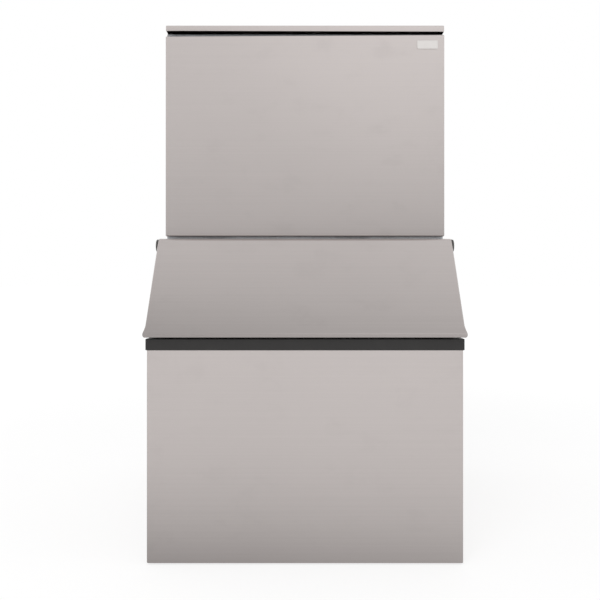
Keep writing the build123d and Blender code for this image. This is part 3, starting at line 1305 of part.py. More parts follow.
def compressor():
    """Welded compressor shell with its weld band, foot plate and tube stubs."""
    radius, low, high = COMPRESSOR_RADIUS, SHELL_Z, SHELL_Z + COMPRESSOR_HEIGHT
    dome = radius * 0.45
    band = (low + high) / 2 + dome / 2
    outline = Polyline((0, low), (radius * 0.7, low), (radius, low + dome), (radius, band))
    outline += Polyline((radius, band), (radius + SHEET, band), (radius + SHEET, band + 2 * BEND), (radius, band + 2 * BEND))
    outline += Polyline((radius, band + 2 * BEND), (radius, high - dome))
    outline += ThreePointArc((radius, high - dome), (radius * 0.74, high - dome * 0.3), (0, high))
    outline += Line((0, high), (0, low))
    shell = Pos(COMPRESSOR_X, COMPRESSOR_Y, 0) * revolve(make_face(Plane.XZ * outline), Axis.Z)
    foot = COMPRESSOR_FOOT
    plate = Pos(COMPRESSOR_X, COMPRESSOR_Y, FOOT_Z + FOOT_SHEET / 2) * Box(2 * foot, 2 * foot, FOOT_SHEET)
    plate = fillet(plate.edges().filter_by(Axis.Z), MOUNT_RADIUS)
    body = shell + plate
    body += rod(
        (COMPRESSOR_X - radius / 2, TUBE_Y, suction_height()),
        (COMPRESSOR_X - radius - BEND, TUBE_Y, suction_height()),
        SUCTION_RADIUS + SHEET,
    )
    x, y = COMPRESSOR_X, discharge_depth()
    body += rod((x, y, high - 2 * dome), (x, y, high + BEND), LINE_RADIUS + SHEET)
    return body + block(
        (x - foot / 4, x + foot / 4),
        (COMPRESSOR_Y - radius - BEND, COMPRESSOR_Y),
        (low + dome + BEND, low + dome + foot / 2),
    )


def suction_height():
    """Height at which the suction line enters the compressor."""
    return SHELL_Z + COMPRESSOR_HEIGHT * 0.62


def discharge_depth():
    """The y place of the compressor's discharge stub."""
    return COMPRESSOR_Y + COMPRESSOR_RADIUS / 2


def compressor_mounts():
    """Rubber feet under the compressor's plate."""
    offset = COMPRESSOR_FOOT - MOUNT_RADIUS - BEND
    feet = []
    for x in (COMPRESSOR_X - offset, COMPRESSOR_X + offset):
        for y in (COMPRESSOR_Y - offset, COMPRESSOR_Y + offset):
            foot = rod((x, y, HEAD_FLOOR), (x, y, FOOT_Z), MOUNT_RADIUS)
            waist = Pos(x, y, (HEAD_FLOOR + FOOT_Z) / 2) * Torus(MOUNT_RADIUS + BEND, 2 * BEND)
            feet.append(foot - waist)
    return group(feet)


def terminal_cover():
    """Cover over the compressor's electrical terminals."""
    low = SHELL_Z + COMPRESSOR_RADIUS * 0.45
    foot = COMPRESSOR_FOOT
    front = COMPRESSOR_Y - COMPRESSOR_RADIUS - BEND
    cover = block(
        (COMPRESSOR_X - foot / 3, COMPRESSOR_X + foot / 3),
        (front - foot / 4, front),
        (low, low + foot / 2 + 2 * BEND),
    )
    return fillet(cover.faces().sort_by(Axis.Y)[0].edges(), BEND)


def condenser_coil():
    """Finned condenser between two end plates that stand on the head's base."""
    coil = block((COIL_LEFT, COIL_RIGHT), (COIL_FRONT, SHROUD_FRONT), (COIL_Z, COIL_Z + COIL_HEIGHT))
    grooves = []
    for step in range(int(COIL_WIDTH / FIN_PITCH)):
        x = COIL_LEFT + step * FIN_PITCH + (FIN_PITCH - FIN_GAP) / 2
        grooves.append(
            block((x, x + FIN_GAP), (COIL_FRONT, COIL_FRONT + FIN_GROOVE), (COIL_Z, COIL_Z + COIL_HEIGHT))
        )
    coil -= group(grooves)
    for low in (COIL_LEFT - SHROUD_SHEET, COIL_RIGHT):
        coil += block((low, low + SHROUD_SHEET), (COIL_FRONT, SHROUD_FRONT), (HEAD_FLOOR, COIL_Z + COIL_HEIGHT))
    x, z = coil_outlet()
    coil += rod((x, COIL_FRONT - BEND, z), (x, COIL_FRONT + 2 * BEND, z), LINE_RADIUS + SHEET)
    x, z = COMPRESSOR_X, HEAD_Z + LINE_TOP
    return coil + rod((x, COIL_FRONT - BEND, z), (x, COIL_FRONT + 2 * BEND, z), LINE_RADIUS + SHEET)


def coil_outlet():
    """The (x, z) place of the coil's liquid outlet."""
    return COIL_RIGHT - 12.0, COIL_Z + 30.0


def fan_shroud():
    """Sheet box from the coil to the fan's ring, which meets the back panel."""
    sheet = SHROUD_SHEET
    top = COIL_Z + COIL_HEIGHT
    ring = FAN_RADIUS + FAN_TIP_GAP
    box = block((COIL_LEFT, COIL_RIGHT), (SHROUD_FRONT, SHROUD_BACK), (COIL_Z, top))
    box -= block((COIL_LEFT + sheet, COIL_RIGHT - sheet), (SHROUD_FRONT, SHROUD_BACK - sheet), (COIL_Z + sheet, top - sheet))
    box += rod((FAN_X, SHROUD_BACK - sheet, FAN_Z), (FAN_X, HEAD_BACK, FAN_Z), ring + sheet)
    return box - rod((FAN_X, SHROUD_BACK - sheet, FAN_Z), (FAN_X, HEAD_BACK, FAN_Z), ring)


def fan_motor():
    """Fan motor with its shaft bore."""
    front = MOTOR_BACK - FAN_MOTOR_LENGTH
    motor = rod((FAN_X, front, FAN_Z), (FAN_X, MOTOR_BACK, FAN_Z), FAN_MOTOR_RADIUS)
    motor = fillet(motor.faces().sort_by(Axis.Y)[-1].edges(), BEND)
    bore = rod((FAN_X, MOTOR_BACK - FAN_HUB_LENGTH, FAN_Z), (FAN_X, MOTOR_BACK, FAN_Z), FAN_SHAFT + RUNNING)
    return motor - bore


def fan_motor_bracket():
    """Bar across the shroud that carries the fan motor."""
    back = MOTOR_BACK - FAN_MOTOR_LENGTH
    sheet = SHROUD_SHEET
    half = FAN_MOTOR_RADIUS / 2
    left, right = COIL_LEFT + sheet, COIL_RIGHT - sheet
    bar = block((left, right), (back - sheet, back), (FAN_Z - half, FAN_Z + half))
    for low in (left, right - sheet):
        bar += block((low, low + sheet), (back - sheet, back + 2 * half), (FAN_Z - half, FAN_Z + half))
    return bar


def condenser_fan():
    """Fan wheel: hub, shaft and twisted blades."""
    hub = rod((FAN_X, FAN_Y - FAN_HUB_LENGTH / 2, FAN_Z), (FAN_X, FAN_Y + FAN_HUB_LENGTH / 2, FAN_Z), FAN_HUB_RADIUS)
    hub = fillet(hub.faces().sort_by(Axis.Y)[-1].edges(), BEND)
    hub += rod((FAN_X, MOTOR_BACK - FAN_HUB_LENGTH + SEAM, FAN_Z), (FAN_X, FAN_Y, FAN_Z), FAN_SHAFT)
    root, tip = FAN_HUB_RADIUS - BEND, FAN_RADIUS
    sections = []
    for radius, chord, angle in (
        (root, FAN_CHORD * 0.55, FAN_PITCH_ANGLE * 1.5),
        ((root + tip) / 2, FAN_CHORD, FAN_PITCH_ANGLE),
        (tip, FAN_CHORD * 1.1, FAN_PITCH_ANGLE * 0.7),
    ):
        plane = Plane(origin=(FAN_X, FAN_Y, FAN_Z + radius), x_dir=(1, 0, 0), z_dir=(0, 0, 1))
        sections.append(plane * Rot(0, 0, angle) * Rectangle(chord, FAN_BLADE_SHEET))
    blade = loft(sections)
    limit = rod((FAN_X, FAN_Y - FAN_CHORD, FAN_Z), (FAN_X, FAN_Y + FAN_CHORD, FAN_Z), FAN_RADIUS)
    blade = blade & limit
    wheel = hub
    for turn in range(FAN_BLADES):
        wheel += blade.rotate(Axis((FAN_X, FAN_Y, FAN_Z), (0, 1, 0)), 360 / FAN_BLADES * turn)
    return wheel


def receiver_place():
    """The (x, y) place of the receiver tank."""
    return COIL_RIGHT - RECEIVER_FROM_SIDE, COIL_FRONT - RECEIVER_AHEAD


def receiver_tank():
    """Upright liquid receiver with domed ends and flat tube stubs."""
    x, y = receiver_place()
    low, high = HEAD_FLOOR, HEAD_FLOOR + RECEIVER_HEIGHT
    tank = rod((x, y, low), (x, y, high), RECEIVER_RADIUS)
    tank = fillet(tank.edges().filter_by(GeomType.CIRCLE), RECEIVER_RADIUS / 3)
    tank += rod((x, y, high - BEND), (x, y, high + 4 * BEND), LINE_RADIUS + SHEET)
    _, z = coil_outlet()
    return tank + rod((x, y, z), (x + RECEIVER_RADIUS + BEND, y, z), LINE_RADIUS + SHEET)


def drier_place():
    """The left end and the axis of the filter drier, as (x, y, z)."""
    _, y = receiver_place()
    return BAY_LEFT + DRIER_FROM_SIDE, y, HEAD_Z + DRIER_LIFT


def filter_drier():
    """Copper filter drier with tapered ends."""
    x, y, z = drier_place()
    end = DRIER_RADIUS
    half = [
        (0, 0),
        (LINE_RADIUS + SHEET, 0),
        (DRIER_RADIUS, end),
        (DRIER_RADIUS, DRIER_LENGTH - end),
        (LINE_RADIUS + SHEET, DRIER_LENGTH),
        (0, DRIER_LENGTH),
    ]
    drier = revolve(make_face(Plane.XZ * Polyline(*half, close=True)), Axis.Z)
    return Pos(x, y, z) * Rot(0, 90, 0) * drier


def discharge_line():
    """Hot gas tube from the compressor to the coil."""
    x, y, z = COMPRESSOR_X, discharge_depth(), HEAD_Z + LINE_TOP
    points = [(x, y, SHELL_Z + COMPRESSOR_HEIGHT + BEND), (x, y, z), (x, COIL_FRONT - BEND, z)]
    return pipe(points, LINE_RADIUS, LINE_BEND)


def suction_line():
    """Return tube from the evaporator to the compressor."""
    x = TUBE_END + 3 * SUCTION_BEND
    points = [
        (TUBE_END, TUBE_Y, TUBE_HIGH),
        (x, TUBE_Y, TUBE_HIGH),
        (x, TUBE_Y, suction_height()),
        (COMPRESSOR_X - COMPRESSOR_RADIUS - BEND, TUBE_Y, suction_height()),
    ]
    return pipe(points, SUCTION_RADIUS, SUCTION_BEND)


def liquid_line():
    """Tubes from the coil through the receiver and the drier to the evaporator."""
    tank_x, y = receiver_place()
    outlet_x, outlet_z = coil_outlet()
    drier_x, _, drier_z = drier_place()
    turn = TUBE_END + LINE_BEND + 2 * SHEET
    first = [
        (outlet_x, COIL_FRONT - BEND, outlet_z),
        (outlet_x, y, outlet_z),
        (tank_x + RECEIVER_RADIUS + BEND, y, outlet_z),
    ]
    second = [
        (tank_x, y, HEAD_FLOOR + RECEIVER_HEIGHT + 4 * BEND),
        (tank_x, y, drier_z),
        (drier_x + DRIER_LENGTH, y, drier_z),
    ]
    third = [
        (drier_x, y, drier_z),
        (turn, y, drier_z),
        (turn, y, TUBE_LOW),
        (turn, TUBE_Y, TUBE_LOW),
        (TUBE_END, TUBE_Y, TUBE_LOW),
    ]
    return group(pipe(points, LINE_RADIUS, LINE_BEND) for points in (first, second, third))


def hot_gas_valve():
    """Harvest valve beside the discharge line, on its own bypass tube."""
    x = COMPRESSOR_X - 3 * LINE_BEND
    y = (discharge_depth() + COIL_FRONT) / 2
    z = HEAD_Z + LINE_TOP
    left = x - 2 * INLET_RADIUS
    body = block((left, x), (y - INLET_RADIUS, y + INLET_RADIUS), (z - INLET_RADIUS, z + INLET_RADIUS))
    body += rod(
        (left + INLET_RADIUS, y, z),
        (left + INLET_RADIUS, y, z + 4 * INLET_RADIUS),
        INLET_RADIUS - SHEET,
    )
    turn = TUBE_END + LINE_BEND + 2 * SHEET
    body += rod((x, y, z), (COMPRESSOR_X - LINE_RADIUS - SOFT_GAP, y, z), LINE_RADIUS)
    points = [(left, y, z), (left - 2 * LINE_BEND, y, z), (left - 2 * LINE_BEND, y, TUBE_LOW + 3 * LINE_BEND)]
    points.append((turn + LINE_RADIUS + SOFT_GAP, y, TUBE_LOW + 3 * LINE_BEND))
    return body + pipe(points, LINE_RADIUS, LINE_BEND - SHEET)


# Controls


def control_box():
    """Sheet box for the electrical parts, open to the front."""
    box = block((CONTROL_LEFT, CONTROL_RIGHT), (CONTROL_FRONT, CONTROL_FRONT + CONTROL_DEPTH), (CONTROL_Z, CONTROL_TOP))
    sheet = CONTROL_SHEET
    return box - block(
        (CONTROL_LEFT + sheet, CONTROL_RIGHT - sheet),
        (CONTROL_FRONT, CONTROL_FRONT + CONTROL_DEPTH - sheet),
        (CONTROL_Z + sheet, CONTROL_TOP - sheet),
    )


def toggle_place():
    """The (x, z) place of the selector switch."""
    return CONTROL_RIGHT - CONTROL_HEIGHT / 4, CONTROL_Z + CONTROL_HEIGHT / 2


def control_lid():
    """Lid of the control box with a hole for the selector switch."""
    lid = block((CONTROL_LEFT, CONTROL_RIGHT), (LID_FRONT, CONTROL_FRONT), (CONTROL_Z, CONTROL_TOP))
    lid = fillet(lid.faces().sort_by(Axis.Y)[0].edges(), BEND)
    sheet = CONTROL_SHEET
    lid -= block(
        (CONTROL_LEFT + sheet, CONTROL_RIGHT - sheet),
        (LID_FRONT + sheet, CONTROL_FRONT),
        (CONTROL_Z + sheet, CONTROL_TOP - sheet),
    )
    x, z = toggle_place()
    return lid - rod((x, LID_FRONT, z), (x, LID_FRONT + sheet, z), TOGGLE_BUSHING)


def control_board():
    """Circuit board with relay, transformer and terminal blocks, on the box's back."""
    back = CONTROL_FRONT + CONTROL_DEPTH - CONTROL_SHEET
    face = back - BOARD_STAND - BOARD_THICKNESS
    left, low = CONTROL_LEFT + BOARD_FROM_SIDE, CONTROL_Z + BOARD_FROM_BOTTOM
    board = block((left, left + BOARD_WIDTH), (face, back - BOARD_STAND), (low, low + BOARD_HEIGHT))
    for x in (left + BOARD_FOOT, left + BOARD_WIDTH - BOARD_FOOT):
        for z in (low + BOARD_FOOT, low + BOARD_HEIGHT - BOARD_FOOT):
            board += rod((x, back - BOARD_STAND - SHEET, z), (x, back, z), BEND)
    for across, up, wide, high, deep in BOARD_PARTS:
        x, z = left + across, low + up
        board += block((x, x + wide), (face - deep, face + SHEET), (z, z + high))
    return board


def toggle_switch():
    """Selector switch: threaded bushing through the lid, and its body behind."""
    x, z = toggle_place()
    front = LID_FRONT - 2 * CONTROL_SHEET - SHEET
    back = LID_FRONT + CONTROL_LID
    body = rod((x, front, z), (x, back, z), TOGGLE_BUSHING)
    body += rod((x, front + 2 * SHEET, z), (x, LID_FRONT, z), TOGGLE_BUSHING + 2 * SHEET)
    body += block((x - 9, x + 9), (back, back + 24), (z - 14, z + 14))
    return body - rod((x, front, z), (x, back - BEND, z), TOGGLE_BORE)


def toggle_lever():
    """Lever of the selector switch, on the ball that it tilts about."""
    x, z = toggle_place()
    lever = rod((x, LID_FRONT - TOGGLE_REACH, z), (x, LID_FRONT, z), TOGGLE_LEVER)
    lever = fillet(lever.faces().sort_by(Axis.Y)[0].edges(), TOGGLE_LEVER * 0.7)
    return lever + Pos(x, LID_FRONT, z) * Sphere(TOGGLE_BORE - SOFT_GAP)


NODES = {
    "bin_base": bin_base,
    "bin_leg_sockets": lambda: group(leg_socket(x, y) for x, y in leg_places()),
    "bin_front_panel": bin_front_panel,
    "bin_side_panel_right": bin_side_panel,
    "bin_side_panel_left": lambda: mirror(bin_side_panel(), about=Plane.YZ),
    "bin_back_panel": bin_back_panel,
    "bin_top_frame": bin_top_frame,
    "bin_liner": bin_liner,
    "bin_foam": bin_foam,
    "bin_sill_trim": bin_sill_trim,
    "bin_drain": lambda: group([drain_solid(True), drain_strainer()]),
    "door_hinge_brackets": lambda: both_sides(hinge_bracket()),
    "door_hinge_pins": lambda: group([hinge_pins(), hinge_screws()]),
    "bin_door_skin": bin_door_skin,
    "bin_door_inner_panel": bin_door_inner_panel,
    "bin_door_foam": bin_door_foam,
    "bin_door_gasket": bin_door_gasket,
    "bin_door_hinge_bushes": bin_door_bushes,
    "bin_door_corner_guards": bin_door_corner_guards,
    "head_gasket": head_gasket,
    "head_base": head_base,
    "head_side_panel_left": lambda: mirror(head_side_panel(), about=Plane.YZ),
    "head_side_panel_right": head_side_panel_right,
    "head_back_panel": head_back_panel,
    "head_top_cover": head_top_cover,
    "head_front_rail": head_front_rail,
    "head_bulkhead": bulkhead,
    "head_panel_grommets": stud_grommets,
    "head_front_panel": head_front_panel,
    "head_front_panel_studs": head_panel_studs,
    "head_front_panel_pad": head_panel_insulation,
    "head_badge_plate": badge_plate,
    "evaporator_housing": evaporator_housing,
    "evaporator_grid": evaporator_grid,
    "evaporator_tubing": lambda: group([evaporator_tubing(), evaporator_standoffs()]),
    "water_distributor": water_distributor,
    "water_curtain_brackets": curtain_brackets,
    "water_curtain": water_curtain,
    "ice_thickness_probe": ice_probe,
    "water_trough": water_trough,
    "water_pump": water_pump,
    "water_pump_impeller": pump_impeller,
    "water_hose": pump_hose,
    "water_inlet_valve": lambda: group([water_inlet_fitting(), water_inlet_valve(), fill_line()]),
    "water_drain": lambda: group([trough_drain(), drain_outlet_fitting()]),
    "power_bushing": power_bushing,
    "compressor": lambda: compressor(),
    "compressor_mounts": compressor_mounts,
    "compressor_terminal_cover": terminal_cover,
    "condenser_coil": condenser_coil,
    "fan_shroud": fan_shroud,
    "fan_motor": lambda: group([fan_motor(), fan_motor_bracket()]),
    "condenser_fan": condenser_fan,
    "receiver_tank": receiver_tank,
    "filter_drier": filter_drier,
    "control_box": lambda: group([control_box(), control_board()]),
    "control_box_lid": control_lid,
    "selector_switch": toggle_switch,
    "selector_lever": toggle_lever,
    "refrigerant_lines": lambda: group([discharge_line(), suction_line(), liquid_line(), hot_gas_valve()]),
}


def main():
    """Build every node and save it."""
    os.makedirs("parts", exist_ok=True)
    for name, make in NODES.items():
        export_step(make(), f"parts/{name}.step")


main()
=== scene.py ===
"""Looks of a modular ice machine: an ice-making head on a storage bin with a sloping lift-up door.

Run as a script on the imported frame. Every piece lies in the CAD's frame, in metres, and rides on
the body that carries it. Sizes come from the CAD nodes' boxes and from the sizes and settings below.
"""

import json
import math
from typing import NamedTuple

import bmesh
import bpy
import numpy as np
from bpy.props import FloatProperty, FloatVectorProperty, PointerProperty
from bpy.types import Operator, Panel, PropertyGroup
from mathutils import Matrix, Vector

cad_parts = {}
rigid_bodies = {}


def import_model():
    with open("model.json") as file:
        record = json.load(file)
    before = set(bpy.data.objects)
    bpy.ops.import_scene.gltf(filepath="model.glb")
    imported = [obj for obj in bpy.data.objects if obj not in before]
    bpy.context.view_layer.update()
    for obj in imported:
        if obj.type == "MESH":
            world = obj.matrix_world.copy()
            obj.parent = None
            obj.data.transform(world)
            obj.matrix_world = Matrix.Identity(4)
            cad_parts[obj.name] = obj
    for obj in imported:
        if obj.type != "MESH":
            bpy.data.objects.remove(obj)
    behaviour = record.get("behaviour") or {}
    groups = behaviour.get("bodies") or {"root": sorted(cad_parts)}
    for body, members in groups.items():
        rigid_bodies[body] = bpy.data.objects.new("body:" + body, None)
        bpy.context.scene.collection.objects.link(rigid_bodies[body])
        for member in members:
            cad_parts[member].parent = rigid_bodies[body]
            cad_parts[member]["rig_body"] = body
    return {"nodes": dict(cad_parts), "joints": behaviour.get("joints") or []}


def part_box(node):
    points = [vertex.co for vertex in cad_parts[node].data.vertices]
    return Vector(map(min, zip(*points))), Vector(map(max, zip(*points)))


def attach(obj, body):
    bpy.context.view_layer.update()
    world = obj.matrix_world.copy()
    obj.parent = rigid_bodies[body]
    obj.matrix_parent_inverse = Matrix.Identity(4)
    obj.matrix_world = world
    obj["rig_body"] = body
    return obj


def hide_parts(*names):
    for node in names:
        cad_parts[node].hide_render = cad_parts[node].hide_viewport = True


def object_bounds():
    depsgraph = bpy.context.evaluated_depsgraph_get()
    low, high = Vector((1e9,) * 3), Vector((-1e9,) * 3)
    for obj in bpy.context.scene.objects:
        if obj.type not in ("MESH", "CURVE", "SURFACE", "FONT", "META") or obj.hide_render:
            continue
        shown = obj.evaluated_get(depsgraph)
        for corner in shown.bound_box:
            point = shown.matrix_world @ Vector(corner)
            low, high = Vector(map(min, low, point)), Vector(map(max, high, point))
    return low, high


bl_info = {
    "name": "Ice machine looks",
    "version": (1, 0, 0),
    "blender": (4, 5, 0),
    "location": "3D View > Sidebar > Ice machine",
    "description": "Dresses the ice machine's frame in sheet metal, plastics and fittings",
    "category": "Object",
}

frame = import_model()
CAD_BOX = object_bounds()
NODES = frame["nodes"]
HINGE = next(j for j in frame["joints"] if j["name"] == "bin_door_hinge")["pos_m"]
WHITE = (1.0, 1.0, 1.0)

# Sizes in metres, and angles, that aren't settings
CORNER = 0.003  # radius of the sheets' corners
LEAST_CORNER = 0.0004  # what stays of it where a ring is drawn in
CREASE = math.radians(34.0)  # faces that turn more than this meet in a sharp edge
FLAT = math.radians(0.8)  # faces that turn less than this are merged
JOINED = 2e-6  # points nearer than this are joined
DROOP_FADE = 0.03  # height over which the droop of the head panel's edge dies away
COVER_SHADE_FADE = 0.03  # how far below the cover its painted shade would be full
RELIEF = (0.011, 0.02, 0.0035)  # width, depth and rise of the cut in the cover's lip at its left front
GUARD_WIDTH = 0.006  # part of the corner guards that lies inside the door's edge
GUARD_PROUD = 0.0003  # how far they stand before the door's face
GUARD_CORNER = 0.0028  # largest radius of their corners
PIN_REACH = 0.034  # from the hinge pins' outer ends in the CAD to their inner ends
PIN_GAP = 0.0012  # from the pins' domed ends to the brackets' outer faces
SCREW_HEAD = (0.0046, 0.0022)  # radius and height of the pan heads on the brackets
SCREW_SUNK = 0.0002  # how far they sit in the brackets
SCREW_ROWS = (-0.2205, -0.1935)  # where they sit along Y

# The photograph's side, and how far the lens is shifted right and up, in its pixels
PHOTO_SIDE = 600
LENS_SHIFT = (-5, -30)


def corners(node):
    """Lowest and highest corner of a CAD node, as arrays in metres."""
    low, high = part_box(node)
    return np.array(low), np.array(high)


# Settings


class SheetSettings(PropertyGroup):
    bend: FloatProperty(
        name="Bend", description="Outer radius of the folded edges", default=0.003, min=0.001, unit="LENGTH"
    )
    sheet: FloatProperty(
        name="Sheet", description="Thickness of the steel sheet", default=0.001, min=0.0004, unit="LENGTH"
    )
    hem: FloatProperty(
        name="Hem", description="Width of the panels' turned-in hems", default=0.012, unit="LENGTH"
    )
    droop: FloatProperty(
        name="Droop", description="How far the head panel's top edge falls at its left end",
        default=0.0045, unit="LENGTH"
    )
    droop_run: FloatProperty(
        name="Droop run", description="Length over which the edge falls", default=0.14, unit="LENGTH"
    )
    steel: FloatVectorProperty(
        name="Stainless steel", description="Colour of the brushed sheets",
        default=(0.565, 0.521, 0.508), subtype="COLOR"
    )
    zinc: FloatVectorProperty(
        name="Galvanised steel", description="Colour of the galvanised sheets",
        default=(0.44, 0.46, 0.48), subtype="COLOR"
    )


class DoorSettings(PropertyGroup):
    slope: FloatProperty(
        name="Slope", description="Angle of the door's face below level",
        default=math.radians(54.0), subtype="ANGLE"
    )
    thickness: FloatProperty(
        name="Thickness", description="Thickness of the door", default=0.038, unit="LENGTH"
    )
    flare: FloatProperty(
        name="Flare", description="How far the corner guards stand out at the sides",
        default=0.0046, unit="LENGTH"
    )


class PlasticSettings(PropertyGroup):
    white: FloatVectorProperty(
        name="White plastic", description="Colour of the liner and the water parts",
        default=(0.72, 0.73, 0.72), subtype="COLOR"
    )
    black: FloatVectorProperty(
        name="Black plastic", description="Colour of the trim, the pump and the bushings",
        default=(0.0165, 0.0150, 0.0145), subtype="COLOR"
    )
    grey: FloatVectorProperty(
        name="Grey plastic", description="Colour of the hinge brackets and leg sockets",
        default=(0.1, 0.096, 0.092), subtype="COLOR"
    )
    foam: FloatVectorProperty(
        name="Foam", description="Colour of the insulation foam",
        default=(0.62, 0.55, 0.36), subtype="COLOR"
    )
    rubber: FloatVectorProperty(
        name="Rubber", description="Colour of gaskets, hoses and mounts",
        default=(0.03, 0.03, 0.032), subtype="COLOR"
    )


class WorksSettings(PropertyGroup):
    copper: FloatVectorProperty(
        name="Copper", description="Colour of the refrigerant tubes",
        default=(0.66, 0.33, 0.2), subtype="COLOR"
    )
    brass: FloatVectorProperty(
        name="Brass", description="Colour of the water fittings",
        default=(0.66, 0.49, 0.24), subtype="COLOR"
    )
    nickel: FloatVectorProperty(
        name="Nickel plate", description="Colour of the evaporator grid",
        default=(0.62, 0.6, 0.56), subtype="COLOR"
    )
    paint: FloatVectorProperty(
        name="Black paint", description="Colour of compressor, tank and motor",
        default=(0.02, 0.02, 0.021), subtype="COLOR"
    )


class StageSettings(PropertyGroup):
    focal: FloatProperty(
        name="Focal length", description="Lens of the camera", default=43.08, min=10.0, unit="CAMERA"
    )
    distance: FloatProperty(
        name="Distance", description="Camera's distance in front of the origin",
        default=2.139, unit="LENGTH"
    )
    height: FloatProperty(
        name="Height", description="Camera's height above the floor", default=0.709, unit="LENGTH"
    )
    floor: FloatVectorProperty(
        name="Floor", description="Colour of the floor", default=(0.8, 0.8, 0.8), subtype="COLOR"
    )
    key: FloatProperty(
        name="Key lamp", description="Power of the large lamp above the front", default=42.0, unit="POWER"
    )
    front: FloatProperty(
        name="Front lamp", description="Power of the wide lamp that the sheets mirror",
        default=9.0, unit="POWER"
    )
    fill: FloatProperty(
        name="Fill lamps", description="Power of each lamp at the sides and behind",
        default=7.0, unit="POWER"
    )


class MachineSettings(PropertyGroup):
    sheets: PointerProperty(type=SheetSettings)
    door: PointerProperty(type=DoorSettings)
    plastics: PointerProperty(type=PlasticSettings)
    works: PointerProperty(type=WorksSettings)
    stage: PointerProperty(type=StageSettings)


def settings(group):
    """One group of the machine's settings, by its name."""
    return getattr(bpy.context.scene.ice_machine, group)


# Shaders


class Wire:
    """A socket of a shader; sums written on it add the Math nodes that work them out."""

    def __init__(self, shader, socket):
        self.shader, self.socket = shader, socket

    def _math(self, operation, *values):
        return self.shader.node("ShaderNodeMath", {"operation": operation}, dict(enumerate(values)))

    def __add__(self, other):
        return self._math("ADD", self, other)

    def __sub__(self, other):
        return self._math("SUBTRACT", self, other)

    def __rsub__(self, other):
        return self._math("SUBTRACT", other, self)

    def __mul__(self, other):
        return self._math("MULTIPLY", self, other)

    def __truediv__(self, other):
        return self._math("DIVIDE", self, other)

    def __rtruediv__(self, other):
        return self._math("DIVIDE", other, self)

    def __pow__(self, other):
        return self._math("POWER", self, other)

    __radd__ = __add__
    __rmul__ = __mul__

    def step(self, low, high):
        """0 below low, 1 above high, and a smooth rise between."""
        inputs = {"Value": self, "From Min": low, "From Max": high}
        return self.shader.node("ShaderNodeMapRange", {"interpolation_type": "SMOOTHSTEP"}, inputs)


class Shader:
    """One material, or the surroundings, made with expressions on sockets."""

    def __init__(self, name, store=None):
        self.material = (bpy.data.materials if store is None else store).new(name)
        self.material.use_nodes = True
        self.tree = self.material.node_tree
        self.tree.nodes.clear()
        self.place = self.node("ShaderNodeTexCoord", out="Object")

    def node(self, kind, settings=None, inputs=None, out=0):
        """Adds a node of this type: its settings first, then the values or links of its sockets."""
        made = self.tree.nodes.new(kind)
        for key, value in (settings or {}).items():
            setattr(made, key, value)
        for key, value in (inputs or {}).items():
            if isinstance(value, Wire):
                self.tree.links.new(value.socket, made.inputs[key])
            else:
                made.inputs[key].default_value = value
        return Wire(self, made.outputs[out]) if made.outputs else None

    def stretch(self, x, y, z):
        """The object's coordinates, squeezed or drawn out along each axis."""
        return self.node("ShaderNodeMapping", None, {"Vector": self.place, "Scale": (x, y, z)})

    def noise(self, scale, detail=2.0, place=None, rough=0.5):
        inputs = {"Vector": place or self.place, "Scale": scale, "Detail": detail, "Roughness": rough}
        return self.node("ShaderNodeTexNoise", None, inputs)

    def cells(self, scale, out="Distance", feature="F1"):
        inputs = {"Vector": self.place, "Scale": scale}
        return self.node("ShaderNodeTexVoronoi", {"feature": feature}, inputs, out)

    def mark(self, name):
        """A number kept at the mesh's points, nought where the mesh has none."""
        return self.node("ShaderNodeAttribute", {"attribute_name": name}, out="Fac")

    def mix(self, factor, first, second, way="MIX"):
        """Two colours mixed by a factor: sockets 6 and 7 take them, and output 2 gives a colour."""
        first, second = (c if isinstance(c, Wire) else (*c, 1.0) for c in (first, second))
        options = {"data_type": "RGBA", "blend_type": way}
        return self.node("ShaderNodeMix", options, {0: factor, 6: first, 7: second}, 2)

    def shade(self, colour, amount):
        """A colour made lighter or darker by a number near 1."""
        grey = self.node("ShaderNodeCombineColor", None, {0: amount, 1: amount, 2: amount})
        return self.mix(1.0, colour, grey, "MULTIPLY")

    def rim(self, radius):
        """1 where an edge of the form is nearer than the radius, from the normal's turn in a bevel."""
        rounded = self.node("ShaderNodeBevel", {"samples": 3}, {"Radius": radius})
        flat = self.node("ShaderNodeNewGeometry", out="Normal")
        product = {"operation": "DOT_PRODUCT"}
        meet = self.node("ShaderNodeVectorMath", product, {0: rounded, 1: flat}, "Value")
        return (1.0 - meet).step(0.01, 0.2)

    def seen(self):
        """1 for what the eye, a mirror or glass looks at, and 0 for what lights the object."""
        rays = ("Is Camera Ray", "Is Glossy Ray", "Is Transmission Ray")
        eye, mirror, glass = (self.node("ShaderNodeLightPath", out=ray) for ray in rays)
        options = {"operation": "ADD", "use_clamp": True}
        return self.node("ShaderNodeMath", options, {0: eye + mirror, 1: glass})

    def bump(self, height, distance, strength, under=None):
        inputs = {"Height": height, "Distance": distance, "Strength": strength}
        if under is not None:
            inputs["Normal"] = under
        return self.node("ShaderNodeBump", None, inputs)

    def done(self, colour, roughness, normal, **fixed):
        """Closes the material with a Principled shader; what is the same all over stays on its socket."""
        inputs = {"Base Color": colour, "Roughness": roughness, "Normal": normal, **fixed}
        shader = self.node("ShaderNodeBsdfPrincipled", None, inputs)
        self.node("ShaderNodeOutputMaterial", None, {"Surface": shader})
        return self.material


